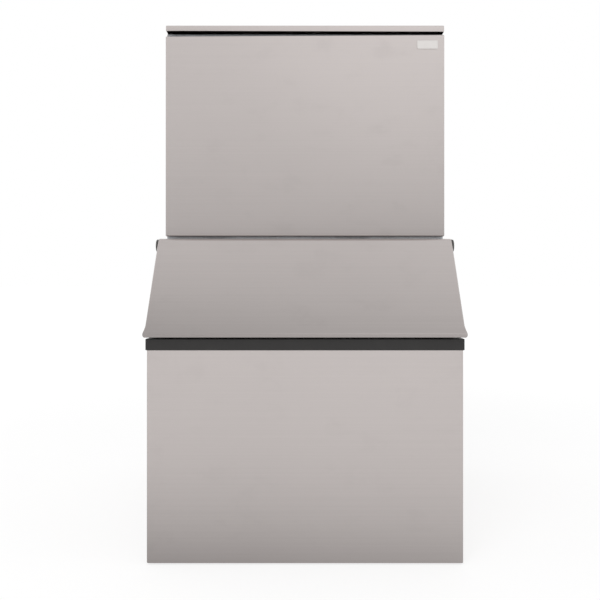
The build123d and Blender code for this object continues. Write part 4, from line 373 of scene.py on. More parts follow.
def stainless(name, colour, along=(5.0, 5.0, 1900.0)):
    """Brushed sheet: fine grain over long faint streaks, clouds and wiped smudges, brighter worn edges, and
    painted shade from the sheet's mark that darkens it towards its foot.
    """
    s = Shader(name)
    grain = s.noise(1.0, 3.0, s.stretch(*along), 0.65)
    streak = s.noise(1.0, 2.0, s.stretch(*(a * 0.14 for a in along)), 0.6)
    cloud = s.noise(2.6, 2.0)
    smudge = s.noise(11.0, 4.0, s.stretch(1.0, 1.0, 1.7), 0.6).step(0.52, 0.72)
    edge = s.rim(0.0009)
    fall = s.mark("fall")
    level = 1.0 + (grain - 0.5) * 0.07 + (streak - 0.5) * 0.07 + (cloud - 0.5) * 0.06 - smudge * 0.014
    # Painted shade: the sheet darkens towards its foot, as the room's light would leave it.
    level = level - fall * 0.13 - (fall ** 3.6) * 0.2
    tone = s.mix(edge * 0.35, s.shade(colour, level), (0.66, 0.65, 0.64))
    rough = 0.35 + (grain - 0.5) * 0.12 + (streak - 0.5) * 0.08 + (cloud - 0.5) * 0.06
    rough = rough + smudge * 0.05 - edge * 0.1
    wave = s.bump(s.noise(3.2, 1.0), 0.0022, 0.35)
    normal = s.bump(grain, 0.00004, 0.5, wave)
    return s.done(tone, rough, normal, Metallic=1.0)


def galvanised(name, colour):
    """Zinc-coated sheet: crystals of different brightness with soft borders and dull blooms."""
    s = Shader(name)
    crystal = s.node("ShaderNodeSeparateColor", None, {0: s.cells(95.0, "Color")})
    border = s.cells(95.0, "Distance", "DISTANCE_TO_EDGE").step(0.0, 0.12)
    bloom = s.noise(7.0, 3.0).step(0.45, 0.75)
    level = 0.86 + crystal * 0.24 + border * 0.03 - bloom * 0.08
    edge = s.rim(0.0007)
    tone = s.mix(edge * 0.4, s.shade(colour, level), (0.58, 0.59, 0.6))
    rough = 0.36 + crystal * 0.1 + bloom * 0.14
    normal = s.bump(s.noise(160.0, 2.0), 0.0001, 0.25)
    return s.done(tone, rough, normal, Metallic=0.9)


def moulded(name, colour, roughness, peel, dust):
    """Moulded plastic: fine spark-eroded grain, uneven gloss, dust and pale rubbed edges."""
    s = Shader(name)
    grain = s.noise(peel, 2.0)
    cloud = s.noise(6.0, 3.0)
    edge = s.rim(0.0008)
    rubbed = tuple(min(1.0, c * 1.25 + 0.012) for c in colour)
    base = s.shade(colour, 0.96 + cloud * 0.08 + (grain - 0.5) * 0.05)
    tone = s.mix(edge * 0.3, base, rubbed)
    tone = s.mix(s.noise(16.0, 4.0).step(0.5, 0.85) * dust, tone, (0.42, 0.41, 0.39))
    rough = roughness + (cloud - 0.5) * 0.12 + (grain - 0.5) * 0.1 - edge * 0.06
    return s.done(tone, rough, s.bump(grain, 0.00012, 0.35))


def foamed(name, colour):
    """Foam: cut cells, and a tone that yellows in clouds."""
    s = Shader(name)
    cell = s.cells(420.0)
    cloud = s.noise(9.0, 3.0)
    tone = s.mix(cloud, colour, tuple(c * f for c, f in zip(colour, (0.9, 0.84, 0.7))))
    tone = s.shade(tone, 0.82 + cell * 0.3)
    return s.done(tone, 0.86 + (cloud - 0.5) * 0.1, s.bump(cell, 0.0007, 0.6))


def rubbery(name, colour):
    """Rubber: fine matt skin with a faint grey bloom."""
    s = Shader(name)
    bloom = s.noise(22.0, 4.0).step(0.45, 0.8)
    tone = s.mix(bloom * 0.22, s.shade(colour, 0.9 + s.noise(60.0) * 0.2), (0.12, 0.12, 0.118))
    return s.done(tone, 0.62 + bloom * 0.18, s.bump(s.noise(900.0, 3.0), 0.00012, 0.4))


def plated(name, colour, dark, roughness, spots=40.0):
    """Plated or bare metal: fine pits, tarnish in clouds, drawn streaks and bright edges."""
    s = Shader(name)
    cloud = s.noise(spots, 4.0, None, 0.6).step(0.42, 0.7)
    streak = s.noise(1.0, 2.0, s.stretch(90.0, 90.0, 700.0))
    edge = s.rim(0.0006)
    tone = s.mix(cloud * 0.45, s.shade(colour, 0.95 + streak * 0.1), dark)
    tone = s.mix(edge * 0.35, tone, tuple(min(1.0, c * 1.2 + 0.04) for c in colour))
    rough = roughness + cloud * 0.16 + (streak - 0.5) * 0.1
    return s.done(tone, rough, s.bump(s.noise(260.0, 3.0), 0.00012, 0.3), Metallic=1.0)


def painted(name, colour):
    """Semi-gloss black paint: orange peel, dust on it and thin grey chips along the edges."""
    s = Shader(name)
    peel = s.noise(240.0, 2.0)
    chip = s.rim(0.0009) * s.noise(300.0, 3.0).step(0.5, 0.6)
    dust = s.noise(14.0, 4.0).step(0.45, 0.8)
    tone = s.mix(dust * 0.1, s.shade(colour, 0.9 + peel * 0.2), (0.3, 0.29, 0.27))
    tone = s.mix(chip * 0.8, tone, (0.24, 0.23, 0.22))
    return s.done(tone, 0.3 + dust * 0.25 + (peel - 0.5) * 0.06, s.bump(peel, 0.0003, 0.4))


def finned(name):
    """Coil of thin aluminium fins: close upright lines, with painted shade in the gaps between the fins, and
    patches of dust.
    """
    s = Shader(name)
    x = s.node("ShaderNodeSeparateXYZ", None, {0: s.place})
    half_pitch = 0.0009
    fins_and_gap_shade = s.node("ShaderNodeMath", {"operation": "PINGPONG"}, {0: x, 1: half_pitch}) / half_pitch
    dust = s.noise(18.0, 4.0).step(0.4, 0.8)
    # Painted shade: the colour darkens in the gaps between the fins, where they would lie in shade; the same
    # lines give the fins' relief.
    tone = s.mix(dust * 0.3, s.shade((0.62, 0.63, 0.64), 0.55 + fins_and_gap_shade * 0.45), (0.36, 0.34, 0.31))
    return s.done(tone, 0.34 + dust * 0.3, s.bump(fins_and_gap_shade, 0.0004, 0.5), Metallic=0.85)


def milky(name):
    """Milky clear plastic: blurred light through it, lime marks and a faintly uneven face."""
    s = Shader(name)
    scale = s.noise(30.0, 4.0).step(0.5, 0.8)
    tone = s.mix(scale * 0.4, (0.78, 0.83, 0.85), (0.9, 0.9, 0.88))
    normal = s.bump(s.noise(120.0, 2.0), 0.0003, 0.3)
    return s.done(tone, 0.28 + scale * 0.3, normal, **{"Transmission Weight": 0.55, "IOR": 1.46})


FINISHES = {}


def make_finishes():
    """Every finish by the name of its slot, and one more for the sheets that lie flat."""
    sheet, plastic, works = settings("sheets"), settings("plastics"), settings("works")
    FINISHES.update(
        stainless_steel=stainless("brushed_stainless", tuple(sheet.steel)),
        stainless_top=stainless("brushed_stainless_top", tuple(sheet.steel), (5.0, 1900.0, 5.0)),
        galvanised_steel=galvanised("galvanised", tuple(sheet.zinc)),
        white_plastic=moulded("white_plastic", tuple(plastic.white), 0.36, 500.0, 0.03),
        black_plastic=moulded("black_plastic", tuple(plastic.black), 0.5, 700.0, 0.022),
        grey_plastic=moulded("grey_plastic", tuple(plastic.grey), 0.48, 700.0, 0.08),
        foam=foamed("insulation_foam", tuple(plastic.foam)),
        rubber=rubbery("rubber", tuple(plastic.rubber)),
        zinc_steel=plated("zinc_plate", (0.56, 0.57, 0.56), (0.38, 0.37, 0.33), 0.3),
        nickel_plate=plated("nickel_plate", tuple(works.nickel), (0.47, 0.44, 0.39), 0.22, 26.0),
        copper=plated("copper", tuple(works.copper), (0.27, 0.13, 0.08), 0.27, 30.0),
        brass=plated("brass", tuple(works.brass), (0.36, 0.25, 0.12), 0.3, 34.0),
        black_paint=painted("black_paint", tuple(works.paint)),
        coil_aluminium=finned("coil_fins"),
        badge_aluminium=stainless("badge_aluminium", (0.66, 0.635, 0.62), (9.0, 9.0, 2600.0)),
        clear_plastic=milky("milky_plastic"),
    )


# Surfaces


def weave(rows, columns):
    """Quads between neighbouring rows and columns of points, with the last column joined to the first."""
    i = np.arange(rows - 1)[:, None]
    j = np.arange(columns)[None, :]
    k = (j + 1) % columns
    quads = np.stack([i * columns + j, i * columns + k, (i + 1) * columns + k, (i + 1) * columns + j], -1)
    return quads.reshape(-1, 4)


class PaintedShade(NamedTuple):
    """Painted shade on a sheet, laid as light from above leaves it: least at its top, most at its foot, less
    by the lean towards its right side.
    """

    foot: float
    top: float
    least: float
    most: float
    lean: float = 0.0

    def mark(self, mesh):
        """Keeps the painted shade at the points of a mesh, where its finish reads it."""
        place = np.empty(len(mesh.vertices) * 3)
        mesh.vertices.foreach_get("co", place)
        x, z = place[::3], place[2::3]
        down = np.clip((self.top - z) / (self.top - self.foot), 0.0, 1.0)
        part = self.least + (self.most - self.least) * down - self.lean * x / CAD_BOX[1][0]
        mesh.attributes.new("fall", "FLOAT", "POINT").data.foreach_set("value", part)


class Skin:
    """Gathers closed surfaces, turns each one's faces outwards, and makes one piece of them."""

    def __init__(self):
        self.points, self.faces, self.count = [], [], 0

    def close(self, rings):
        """Rows of closed rings of points, joined into a wall, with flat lids on the first and the last."""
        rings = np.asarray(rings, float)
        rows, columns = rings.shape[:2]
        points, quads = rings.reshape(-1, 3), weave(rows, columns)
        first, last = np.arange(columns)[::-1], np.arange((rows - 1) * columns, rows * columns)
        lids = [np.stack([np.full(columns - 2, lid[0]), lid[1:-1], lid[2:]], -1) for lid in (first, last)]
        triangles = np.concatenate([quads[:, :3], quads[:, [0, 2, 3]], *lids])
        a, b, c = (points[triangles[:, k]] - points.mean(0) for k in range(3))
        inside_out = np.einsum("ij,ij->", a, np.cross(b, c)) < 0
        faces = quads.tolist() + [first.tolist(), last.tolist()]
        if inside_out:
            faces = [face[::-1] for face in faces]
        self.points.append(points)
        self.faces += [[index + self.count for index in face] for face in faces]
        self.count += len(points)
        return self

    def piece(self, name, body, slot, replaces, finish=None, fall=None):
        """The piece made of the surfaces, in place of CAD nodes."""
        mesh = bpy.data.meshes.new(name)
        mesh.from_pydata(np.concatenate(self.points).tolist(), [], self.faces)
        settle(mesh, name, body, slot, replaces, finish, fall)


def settle(mesh, name, body, slot, replaces, finish, fall, bevel=0.0):
    """Makes the object of a mesh: shading, painted shade, eased edges, finish, body and what it stands for."""
    mesh.validate()
    mesh.shade_smooth()
    mesh.set_sharp_from_angle(angle=CREASE)
    if fall:
        fall.mark(mesh)
    piece = bpy.data.objects.new(name, mesh)
    bpy.context.scene.collection.objects.link(piece)
    mesh.materials.append(FINISHES[finish or slot])
    if bevel:
        ease = piece.modifiers.new("eased_edges", "BEVEL")
        ease.width, ease.segments, ease.limit_method = bevel, 2, "ANGLE"
        ease.angle_limit = CREASE
    flatten = piece.modifiers.new("flat_faces", "WEIGHTED_NORMAL")
    flatten.keep_sharp = True
    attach(piece, body)
    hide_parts(*replaces)


def recast(node, slot, bevel=0.0, finish=None, fall=None):
    """A CAD node's copy for its looks: triangles joined and, for a bevel, flats merged and edges eased."""
    work = bmesh.new()
    work.from_mesh(NODES[node].data)
    bmesh.ops.remove_doubles(work, verts=work.verts, dist=JOINED)
    if bevel:
        bmesh.ops.dissolve_limit(work, angle_limit=FLAT, verts=work.verts, edges=work.edges)
    mesh = bpy.data.meshes.new(node + "_dressed")
    work.to_mesh(mesh)
    work.free()
    settle(mesh, node + "_dressed", NODES[node]["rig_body"], slot, (node,), finish, fall, bevel)


def arc(start, end, steps):
    """Evenly spaced angles between two that are given in degrees, as radians."""
    return np.radians(np.linspace(start, end, steps))


def rounded_ring(half_u, half_v, radius):
    """Rounded rectangle about nought: each corner is its centre plus the radius times cosine and sine."""
    steps = 5
    turn = np.concatenate([arc(q, q + 90, steps) for q in (0, 90, 180, 270)])
    sign_u = np.repeat([1, -1, -1, 1], steps)
    sign_v = np.repeat([1, 1, -1, -1], steps)
    u = sign_u * (half_u - radius) + radius * np.cos(turn)
    v = sign_v * (half_v - radius) + radius * np.sin(turn)
    return np.stack([u, v], -1)


def folded(centre, half, stations, across, up, into):
    """Rounded rectangles, one for each station: drawn in by its inset and set back by its depth."""
    across, up, into = (np.array(v, float) for v in (across, up, into))
    rings = []
    for inset, depth in stations:
        ring = rounded_ring(half[0] - inset, half[1] - inset, max(CORNER - inset, LEAST_CORNER))
        rings.append(np.array(centre) + ring[:, :1] * across + ring[:, 1:] * up + depth * into)
    return np.array(rings)


def pan_stations(depth, bend, sheet, hem=0.0):
    """Section of a folded pan, as (inset, depth): outer face, bend, wall, hem, and back along the inside."""
    turn = arc(0, 90, 6)
    outer = [(bend - bend * math.sin(a), bend - bend * math.cos(a)) for a in turn]
    rest = bend - sheet
    inner = [(sheet + rest * (1 - math.sin(a)), sheet + rest * (1 - math.cos(a))) for a in turn]
    foot = [(0.0, depth - bend / 2), (bend / 6, depth - bend / 6), (bend / 2, depth)]
    back = [(hem, depth), (hem, depth - sheet)] if hem else []
    return outer + foot + back + [(sheet, depth - sheet)] + inner[::-1]


def bent(points, radius, steps):
    """A path with its corners rounded: each corner is a quadratic arc between points one radius from it."""
    points = np.asarray(points, float)
    path = [points[:1]]
    t = np.linspace(0, 1, steps)[:, None]
    for before, corner, after in zip(points, points[1:], points[2:]):
        a, b = before - corner, after - corner
        cut = min(radius, np.linalg.norm(a) * 0.48, np.linalg.norm(b) * 0.48)
        a, b = corner + a / np.linalg.norm(a) * cut, corner + b / np.linalg.norm(b) * cut
        path.append((1 - t) ** 2 * a + 2 * t * (1 - t) * corner + t * t * b)
    return np.concatenate([*path, points[-1:]])


def turned(profile, foot, axis, sides):
    """A profile of (radius, height) pairs turned about an axis through its foot."""
    profile = np.asarray(profile, float)
    axis = np.array(axis, float) / np.linalg.norm(axis)
    side = np.cross(axis, [0.36, 0.48, 0.8])
    side /= np.linalg.norm(side)
    up = np.cross(axis, side)
    turn = np.linspace(0, 2 * np.pi, sides, endpoint=False)
    ring = np.cos(turn)[:, None] * side + np.sin(turn)[:, None] * up
    return np.array(foot) + profile[:, 0, None, None] * ring + profile[:, 1, None, None] * axis


def screw_head(foot, axis, radius, height):
    """Pan head with a cross recess: a dome over a polar grid, sunk where angle and radius lie in an arm."""
    quarter = np.array([-13, 13, 34, 56])
    angle = np.radians(np.concatenate([quarter + q for q in (0, 90, 180, 270)]))
    reach = np.array([1.0, 1.0, 0.86, 0.62, 0.56, 0.2])[:, None]
    dome = np.array([0.0, 0.35, 0.8, 1.0, 1.0, 1.0])[:, None]
    arm = np.abs((np.degrees(angle) + 45) % 90 - 45) < 14
    sunk = 0.75 * ((arm & (reach < 0.6)) | (~arm & (reach < 0.3)))
    axis = np.array(axis, float)
    side = np.cross(axis, [0.0, 0.0, 1.0] if abs(axis[2]) < 0.9 else [1.0, 0.0, 0.0])
    up = np.cross(axis, side)
    flat = radius * reach[..., None] * (np.cos(angle)[:, None] * side + np.sin(angle)[:, None] * up)
    return np.array(foot) + flat + (height * (dome - sunk))[..., None] * axis


# Operators


class ICE_OT_finishes(Operator):
    """Makes the finishes, and gives the two foam fillings theirs"""

    bl_idname = "ice_machine.finishes"
    bl_label = "Finishes"

    def execute(self, context):
        make_finishes()
        for node in ("bin_foam", "bin_door_foam"):
            data = NODES[node].data
            data.materials.clear()
            data.materials.append(FINISHES["foam"])
        return {"FINISHED"}


class ICE_OT_cabinet_fronts(Operator):
    """Folded front panels of bin and head, with rolled edges, hems and the head panel's drooping end"""

    bl_idname = "ice_machine.cabinet_fronts"
    bl_label = "Cabinet fronts"

    def execute(self, context):
        rings, low, high = self.tray("bin_front_panel")
        # Painted shade on the bin front: darker towards its foot, lighter towards its right side.
        fall = PaintedShade(low[2], high[2], 0.06, 1.09, 0.05)
        skin = Skin().close(rings)
        skin.piece("bin_front_sheet", "cabinet", "stainless_steel", ("bin_front_panel",), fall=fall)
        rings, low, high = self.tray("head_front_panel")
        # Painted shade on the head panel: darker towards its foot and towards its right side.
        fall = PaintedShade(low[2], high[2], 0.24, 0.9, -0.04)
        skin = Skin().close(self.drooped(rings, low, high))
        skin.piece("head_front_sheet", "front_panel", "stainless_steel", ("head_front_panel",), fall=fall)
        return {"FINISHED"}

    def tray(self, node):
        """Rings of a folded panel in the box of its CAD node, and that box's corners."""
        s = settings("sheets")
        low, high = corners(node)
        half = (high - low) / 2
        centre = [0.0, low[1], (low[2] + high[2]) / 2]
        stations = pan_stations(high[1] - low[1], s.bend, s.sheet, s.hem)
        rings = folded(centre, (half[0], half[2]), stations, (1, 0, 0), (0, 0, 1), (0, 1, 0))
        return rings, low, high

    def drooped(self, rings, low, high):
        """Lets the upper edge sink towards the left end, evenly along the droop's run."""
        s = settings("sheets")
        way = np.clip((low[0] + s.droop_run - rings[..., 0]) / s.droop_run, 0, 1)
        upper = np.clip((rings[..., 2] - (high[2] - DROOP_FADE)) / DROOP_FADE, 0, 1)
        rings[..., 2] -= s.droop * way * upper
        return rings


class ICE_OT_top_cover(Operator):
    """Folded top cover with its lip all round and a relieved left front corner"""

    bl_idname = "ice_machine.top_cover"
    bl_label = "Top cover"

    def execute(self, context):
        s = settings("sheets")
        low, high = corners("head_top_cover")
        half = (high - low) / 2
        centre = [0.0, (low[1] + high[1]) / 2, high[2]]
        stations = pan_stations(high[2] - low[2], s.bend, s.sheet)
        rings = folded(centre, half[:2], stations, (1, 0, 0), (0, 1, 0), (0, 0, -1))
        wide, deep, rise = RELIEF
        near = np.clip(1 - (rings[..., 0] - low[0]) / wide, 0, 1) * (rings[..., 1] < low[1] + deep)
        lower = np.clip((high[2] - rings[..., 2]) / (high[2] - low[2]) * 2 - 1, 0, 1)
        rings[..., 2] += rise * near * lower
        # Painted shade on the cover: darker down its lip towards its foot.
        fall = PaintedShade(low[2] - COVER_SHADE_FADE, high[2], 0.0, 1.0)
        replaced = ("head_top_cover",)
        skin = Skin().close(rings)
        skin.piece("head_cover_sheet", "cabinet", "stainless_steel", replaced, "stainless_top", fall)
        return {"FINISHED"}


class ICE_OT_bin_door(Operator):
    """Sloping door: skin with its rounded hinge end, crease and lip, flared corner guards and inner parts"""

    bl_idname = "ice_machine.bin_door"
    bl_label = "Bin door"

    def outline(self, inset):
        """Section of the door, drawn in by the inset: round nose, outer face, crease, lip and inner face."""
        d = settings("door")
        low, high = corners("bin_door_skin")
        hinge = np.array([HINGE[1], HINGE[2]])
        down = np.array([-math.cos(d.slope), -math.sin(d.slope)])
        out = np.array([-math.sin(d.slope), math.cos(d.slope)])
        radius = d.thickness / 2 - inset
        turn = arc(-90, 90, 25)[:, None]
        nose = hinge - radius * np.cos(turn) * down + radius * np.sin(turn) * out
        front, foot = low[1] + inset, low[2] + inset
        start = hinge + radius * out
        crease = start + down * (start[0] - front) / math.cos(d.slope)
        back = hinge - radius * out
        heel = back + down * (back[1] - foot) / math.sin(d.slope)
        corner = [nose[-1], crease, (front, foot), heel, nose[0]]
        lines = bent(np.c_[np.zeros(5), corner], CORNER, 5)[1:-1, 1:]
        face = np.linspace(0, 1, 14)[1:-1, None] * (lines[0] - nose[-1]) + nose[-1]
        return np.concatenate([nose, face, lines])

    def execute(self, context):
        s = settings("sheets")
        low, high = corners("bin_door_skin")
        turn = arc(0, 90, 6)
        inset = s.bend * (1 - np.sin(turn))
        edge = s.bend * (1 - np.cos(turn))
        inset = np.concatenate([inset, inset[::-1]])
        x = np.concatenate([low[0] + edge, high[0] - edge[::-1]])
        rings = np.array([np.c_[np.full(len(o), at), o] for at, o in zip(x, map(self.outline, inset))])
        # Painted shade on the door and its corner guards: darker towards the door's foot, lighter towards its
        # right side.
        fall = PaintedShade(low[2], high[2], 0.6, 1.03, 0.06)
        skin = Skin().close(rings)
        skin.piece("bin_door_sheet", "bin_door", "stainless_steel", ("bin_door_skin",), fall=fall)
        self.guards(high[0], low[1], fall)
        recast("bin_door_inner_panel", "white_plastic", 0.0012)
        recast("bin_door_hinge_bushes", "white_plastic", 0.0004)
        recast("bin_door_gasket", "rubber", 0.002)
        return {"FINISHED"}

    def guards(self, edge, front, fall):
        """Corner guards: rounded rectangles stacked up the door's edge, whose reach swells and dies away."""
        d = settings("door")
        foot = corners("bin_door_corner_guards")[0][2]
        rise = np.array([0.0, 0.0008, 0.0022, 0.005, 0.009, 0.0135, 0.018, 0.0225, 0.026])
        swell = np.array([0.15, 0.42, 0.75, 0.98, 1.0, 0.72, 0.4, 0.16, 0.03])
        z = foot + rise
        middle = HINGE[1] - (HINGE[2] - z) / math.tan(d.slope)
        half = d.thickness / 2 / math.sin(d.slope)
        outer = np.maximum(middle - half, front) - GUARD_PROUD
        skin = Skin()
        for side in (-1, 1):
            rings = []
            for level, reach, near, far in zip(z, swell, outer, middle + half):
                wide = (GUARD_WIDTH + d.flare * reach) / 2
                ring = rounded_ring(wide, (far - near) / 2, min(wide * 0.95, GUARD_CORNER))
                x = side * (edge - GUARD_WIDTH + wide) + ring[:, 0]
                rings.append(np.c_[x, (near + far) / 2 + ring[:, 1], np.full(len(ring), level)])
            skin.close(rings)
        replaced = ("bin_door_corner_guards",)
        skin.piece("bin_door_corner_caps", "bin_door", "stainless_steel", replaced, fall=fall)


class ICE_OT_trims(Operator):
    """Sill moulding, leg sockets, hinge brackets with their pins and screws, and the plain badge plate"""

    bl_idname = "ice_machine.trims"
    bl_label = "Trims"

    def execute(self, context):
        recast("bin_sill_trim", "black_plastic", 0.0009)
        recast("door_hinge_brackets", "grey_plastic", 0.0008)
        recast("bin_leg_sockets", "grey_plastic", 0.0005)
        low, high = corners("head_badge_plate")
        centre = (low + high) / 2
        centre[1] = high[1]
        half = (high - low)[[0, 2]] / 2
        thick = high[1] - low[1]
        rim = [(0, 0), (0, thick * 0.7), (0.0003, thick), (0.0014, thick)]
        field = [(0.0019, thick * 0.66), (0.0026, thick * 0.62)]
        skin = Skin().close(folded(centre, half, rim + field, (1, 0, 0), (0, 0, 1), (0, -1, 0)))
        skin.piece("badge_plate_bare", "front_panel", "badge_aluminium", ("head_badge_plate",))
        self.pins()
        return {"FINISHED"}

    def pins(self):
        """Hinge pins with domed ends, and the pan heads that hold the brackets' feet."""
        skin = Skin()
        inner = corners("door_hinge_pins")[1][0] - PIN_REACH
        outer = corners("door_hinge_brackets")[1][0]
        length = outer - PIN_GAP - inner
        profile = [(0.002, 0), (0.0035, 0.0004), (0.004, 0.0016), (0.004, length - 0.001), (0.003, length)]
        for side in (-1, 1):
            skin.close(turned(profile, (side * inner, HINGE[1], HINGE[2]), (side, 0, 0), 20))
            for y in SCREW_ROWS:
                skin.close(screw_head((side * (outer - SCREW_SUNK), y, HINGE[2]), (side, 0, 0), *SCREW_HEAD))
        skin.piece("hinge_pins_and_screws", "cabinet", "zinc_steel", ("door_hinge_pins",))


class ICE_OT_cabinet_shell(Operator):
    """Sides, backs, bases, frame and rails, the liner with its drain, and the fittings of the head's panel"""

    bl_idname = "ice_machine.cabinet_shell"
    bl_label = "Cabinet shell"

    def execute(self, context):
        for node in (
            "bin_side_panel_right",
            "bin_side_panel_left",
            "head_side_panel_left",
            "head_side_panel_right",
        ):
            low, high = corners(node)
            # Painted shade on each side panel: darker towards its foot.
            recast(node, "stainless_steel", fall=PaintedShade(low[2], high[2], 0.0, 0.95))
        recast("bin_top_frame", "stainless_steel", finish="stainless_top")
        for node in (
            "bin_base",
            "bin_back_panel",
            "head_base",
            "head_back_panel",
            "head_front_rail",
            "head_bulkhead",
        ):
            recast(node, "galvanised_steel")
        recast("bin_liner", "white_plastic", 0.0018)
        recast("bin_drain", "white_plastic", 0.0004)
        recast("head_panel_grommets", "black_plastic", 0.0003)
        recast("head_front_panel_pad", "foam", 0.002)
        recast("head_gasket", "rubber", 0.0008)
        recast("head_front_panel_studs", "zinc_steel", 0.0003)
        return {"FINISHED"}


class ICE_OT_ice_maker(Operator):
    """Evaporator grid with its tubes, housing, curtain, distributor, probe, trough, pump and water fittings"""

    bl_idname = "ice_machine.ice_maker"
    bl_label = "Ice maker"

    def execute(self, context):
        recast("evaporator_housing", "white_plastic", 0.0015)
        recast("evaporator_grid", "nickel_plate")
        recast("evaporator_tubing", "copper")
        recast("water_distributor", "white_plastic", 0.0004)
        recast("water_curtain_brackets", "white_plastic", 0.0004)
        recast("water_curtain", "clear_plastic", 0.0003)
        recast("ice_thickness_probe", "black_plastic", 0.0005)
        recast("water_trough", "white_plastic", 0.0008)
        recast("water_pump", "black_plastic", 0.0006)
        recast("water_pump_impeller", "white_plastic", 0.0003)
        recast("water_hose", "rubber")
        recast("water_inlet_valve", "brass", 0.0004)
        recast("water_drain", "white_plastic", 0.0004)
        return {"FINISHED"}


class ICE_OT_refrigeration(Operator):
    """Compressor, coil, fan, receiver, drier and their copper lines"""

    bl_idname = "ice_machine.refrigeration"
    bl_label = "Refrigeration"

    def execute(self, context):
        recast("compressor", "black_paint", 0.0006)
        recast("compressor_mounts", "rubber", 0.0006)
        recast("compressor_terminal_cover", "black_plastic", 0.001)
        recast("condenser_coil", "coil_aluminium")
        recast("fan_shroud", "galvanised_steel")
        recast("fan_motor", "black_paint", 0.0006)
        recast("condenser_fan", "black_plastic", 0.0004)
        recast("receiver_tank", "black_paint")
        recast("filter_drier", "copper")
        recast("refrigerant_lines", "copper")
        return {"FINISHED"}


class ICE_OT_controls(Operator):
    """Control box with its lid, switch and lever, and the power bushing"""

    bl_idname = "ice_machine.controls"
    bl_label = "Controls"

    def execute(self, context):
        recast("control_box", "galvanised_steel")
        recast("control_box_lid", "galvanised_steel")
        recast("selector_switch", "zinc_steel", 0.0003)
        recast("selector_lever", "zinc_steel", 0.0003)
        recast("power_bushing", "black_plastic", 0.0006)
        return {"FINISHED"}


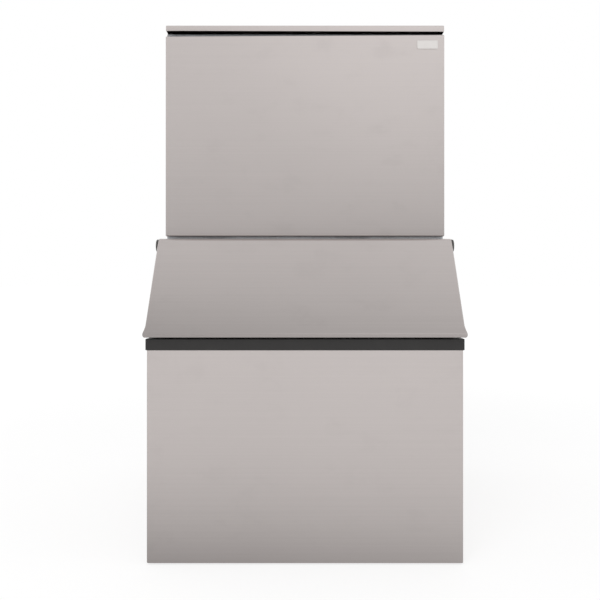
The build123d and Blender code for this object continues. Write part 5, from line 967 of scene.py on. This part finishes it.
class ICE_OT_stage(Operator):
    """Pale floor, plain soft lamps, white surroundings and the camera at the photograph's angle"""

    bl_idname = "ice_machine.stage"
    bl_label = "Stage"

    def execute(self, context):
        s = settings("stage")
        self.floor(s)
        self.surroundings()
        for name, place, aim, wide, power, mirrored in (
            ("key_lamp", (-1.2, -3.6, 3.8), (0, -0.2, 0.7), 3.0, s.key, False),
            ("front_lamp", (1.3, -5.6, 3.4), (0, 0, 0.9), 3.6, s.front, True),
            ("right_lamp", (3.6, -1.0, 2.6), (0, 0, 0.7), 2.6, s.fill, True),
            ("left_lamp", (-3.6, 0.6, 2.6), (0, 0, 0.7), 2.6, s.fill, True),
            ("back_lamp", (0.8, 3.8, 2.8), (0, 0, 0.7), 2.6, s.fill, True),
        ):
            lamp = bpy.data.lights.new(name, "AREA")
            lamp.shape, lamp.size, lamp.energy = "DISK", wide, power
            holder = bpy.data.objects.new(name, lamp)
            holder.location, holder.visible_glossy = place, mirrored
            holder.rotation_euler = (Vector(aim) - Vector(place)).to_track_quat("-Z", "Y").to_euler()
            bpy.context.scene.collection.objects.link(holder)
        self.camera(s)
        return {"FINISHED"}

    def floor(self, s):
        """Level disc of rings about the origin; its material lifts it to white for the eye and mirrors."""
        radii, sides = np.array([0.02, 2.0, 6.0, 30.0]), 48
        rings = radii[:, None] * np.exp(2j * np.pi * np.arange(sides) / sides)
        points = np.stack([rings.real, rings.imag, np.zeros(rings.shape)], -1)
        faces = weave(len(radii), sides).tolist() + [list(range(sides))]
        mesh = bpy.data.meshes.new("studio_floor")
        mesh.from_pydata(points.reshape(-1, 3).tolist(), [], faces)
        floor = bpy.data.objects.new("studio_floor", mesh)
        bpy.context.scene.collection.objects.link(floor)
        m = Shader("studio_floor")
        length = {"operation": "LENGTH"}
        far = m.node("ShaderNodeVectorMath", length, {0: m.place}, "Value").step(1.2, 5.0)
        colour = m.shade(tuple(s.floor), 0.98 + m.noise(1.2) * 0.04)
        cloth = m.node("ShaderNodeBsdfDiffuse", None, {"Color": colour})
        light = {"Color": m.mix(far, (0.9, 0.9, 0.9), WHITE), "Strength": 1.55}
        glow = m.node("ShaderNodeEmission", None, light)
        both = m.node("ShaderNodeMixShader", None, {0: m.seen() * 0.5, 1: cloth, 2: glow})
        m.node("ShaderNodeOutputMaterial", None, {"Surface": both})
        mesh.materials.append(m.material)

    def surroundings(self):
        """Soft even light from all round, and white where it is looked at."""
        m = Shader("studio", bpy.data.worlds)
        soft, white = (
            m.node("ShaderNodeBackground", None, {"Color": (*WHITE, 1.0), "Strength": strength})
            for strength in (0.62, 1.0)
        )
        both = m.node("ShaderNodeMixShader", None, {0: m.seen(), 1: soft, 2: white})
        m.node("ShaderNodeOutputWorld", None, {"Surface": both})
        bpy.context.scene.world = m.material

    def camera(self, s):
        """The photograph's camera: level, before the machine's middle, with its lens shifted."""
        lens = bpy.data.cameras.new("photo_camera")
        lens.lens, lens.sensor_width = s.focal, 36.0
        lens.shift_x, lens.shift_y = (pixels / PHOTO_SIDE for pixels in LENS_SHIFT)
        camera = bpy.data.objects.new("photo_camera", lens)
        camera.location = (0.0, -s.distance, s.height)
        camera.rotation_euler = (math.radians(90), 0, 0)
        scene = bpy.context.scene
        scene.collection.objects.link(camera)
        scene.camera = camera
        scene.view_settings.view_transform = "Standard"


OPERATORS = (
    ICE_OT_finishes,
    ICE_OT_stage,
    ICE_OT_cabinet_fronts,
    ICE_OT_top_cover,
    ICE_OT_bin_door,
    ICE_OT_trims,
    ICE_OT_cabinet_shell,
    ICE_OT_ice_maker,
    ICE_OT_refrigeration,
    ICE_OT_controls,
)


class ICE_PT_machine(Panel):
    """Lists the steps that dress the machine"""

    bl_label = "Ice machine"
    bl_space_type = "VIEW_3D"
    bl_region_type = "UI"
    bl_category = "Ice machine"

    def draw(self, context):
        for operator in OPERATORS:
            self.layout.operator(operator.bl_idname)


CLASSES = (
    SheetSettings,
    DoorSettings,
    PlasticSettings,
    WorksSettings,
    StageSettings,
    MachineSettings,
    *OPERATORS,
    ICE_PT_machine,
)


def register():
    for cls in CLASSES:
        bpy.utils.register_class(cls)
    bpy.types.Scene.ice_machine = PointerProperty(type=MachineSettings)


def unregister():
    del bpy.types.Scene.ice_machine
    for cls in reversed(CLASSES):
        bpy.utils.unregister_class(cls)


def main():
    register()
    for operator in OPERATORS:
        group, name = operator.bl_idname.split(".")
        getattr(getattr(bpy.ops, group), name)()


if __name__ == "__main__":
    main()
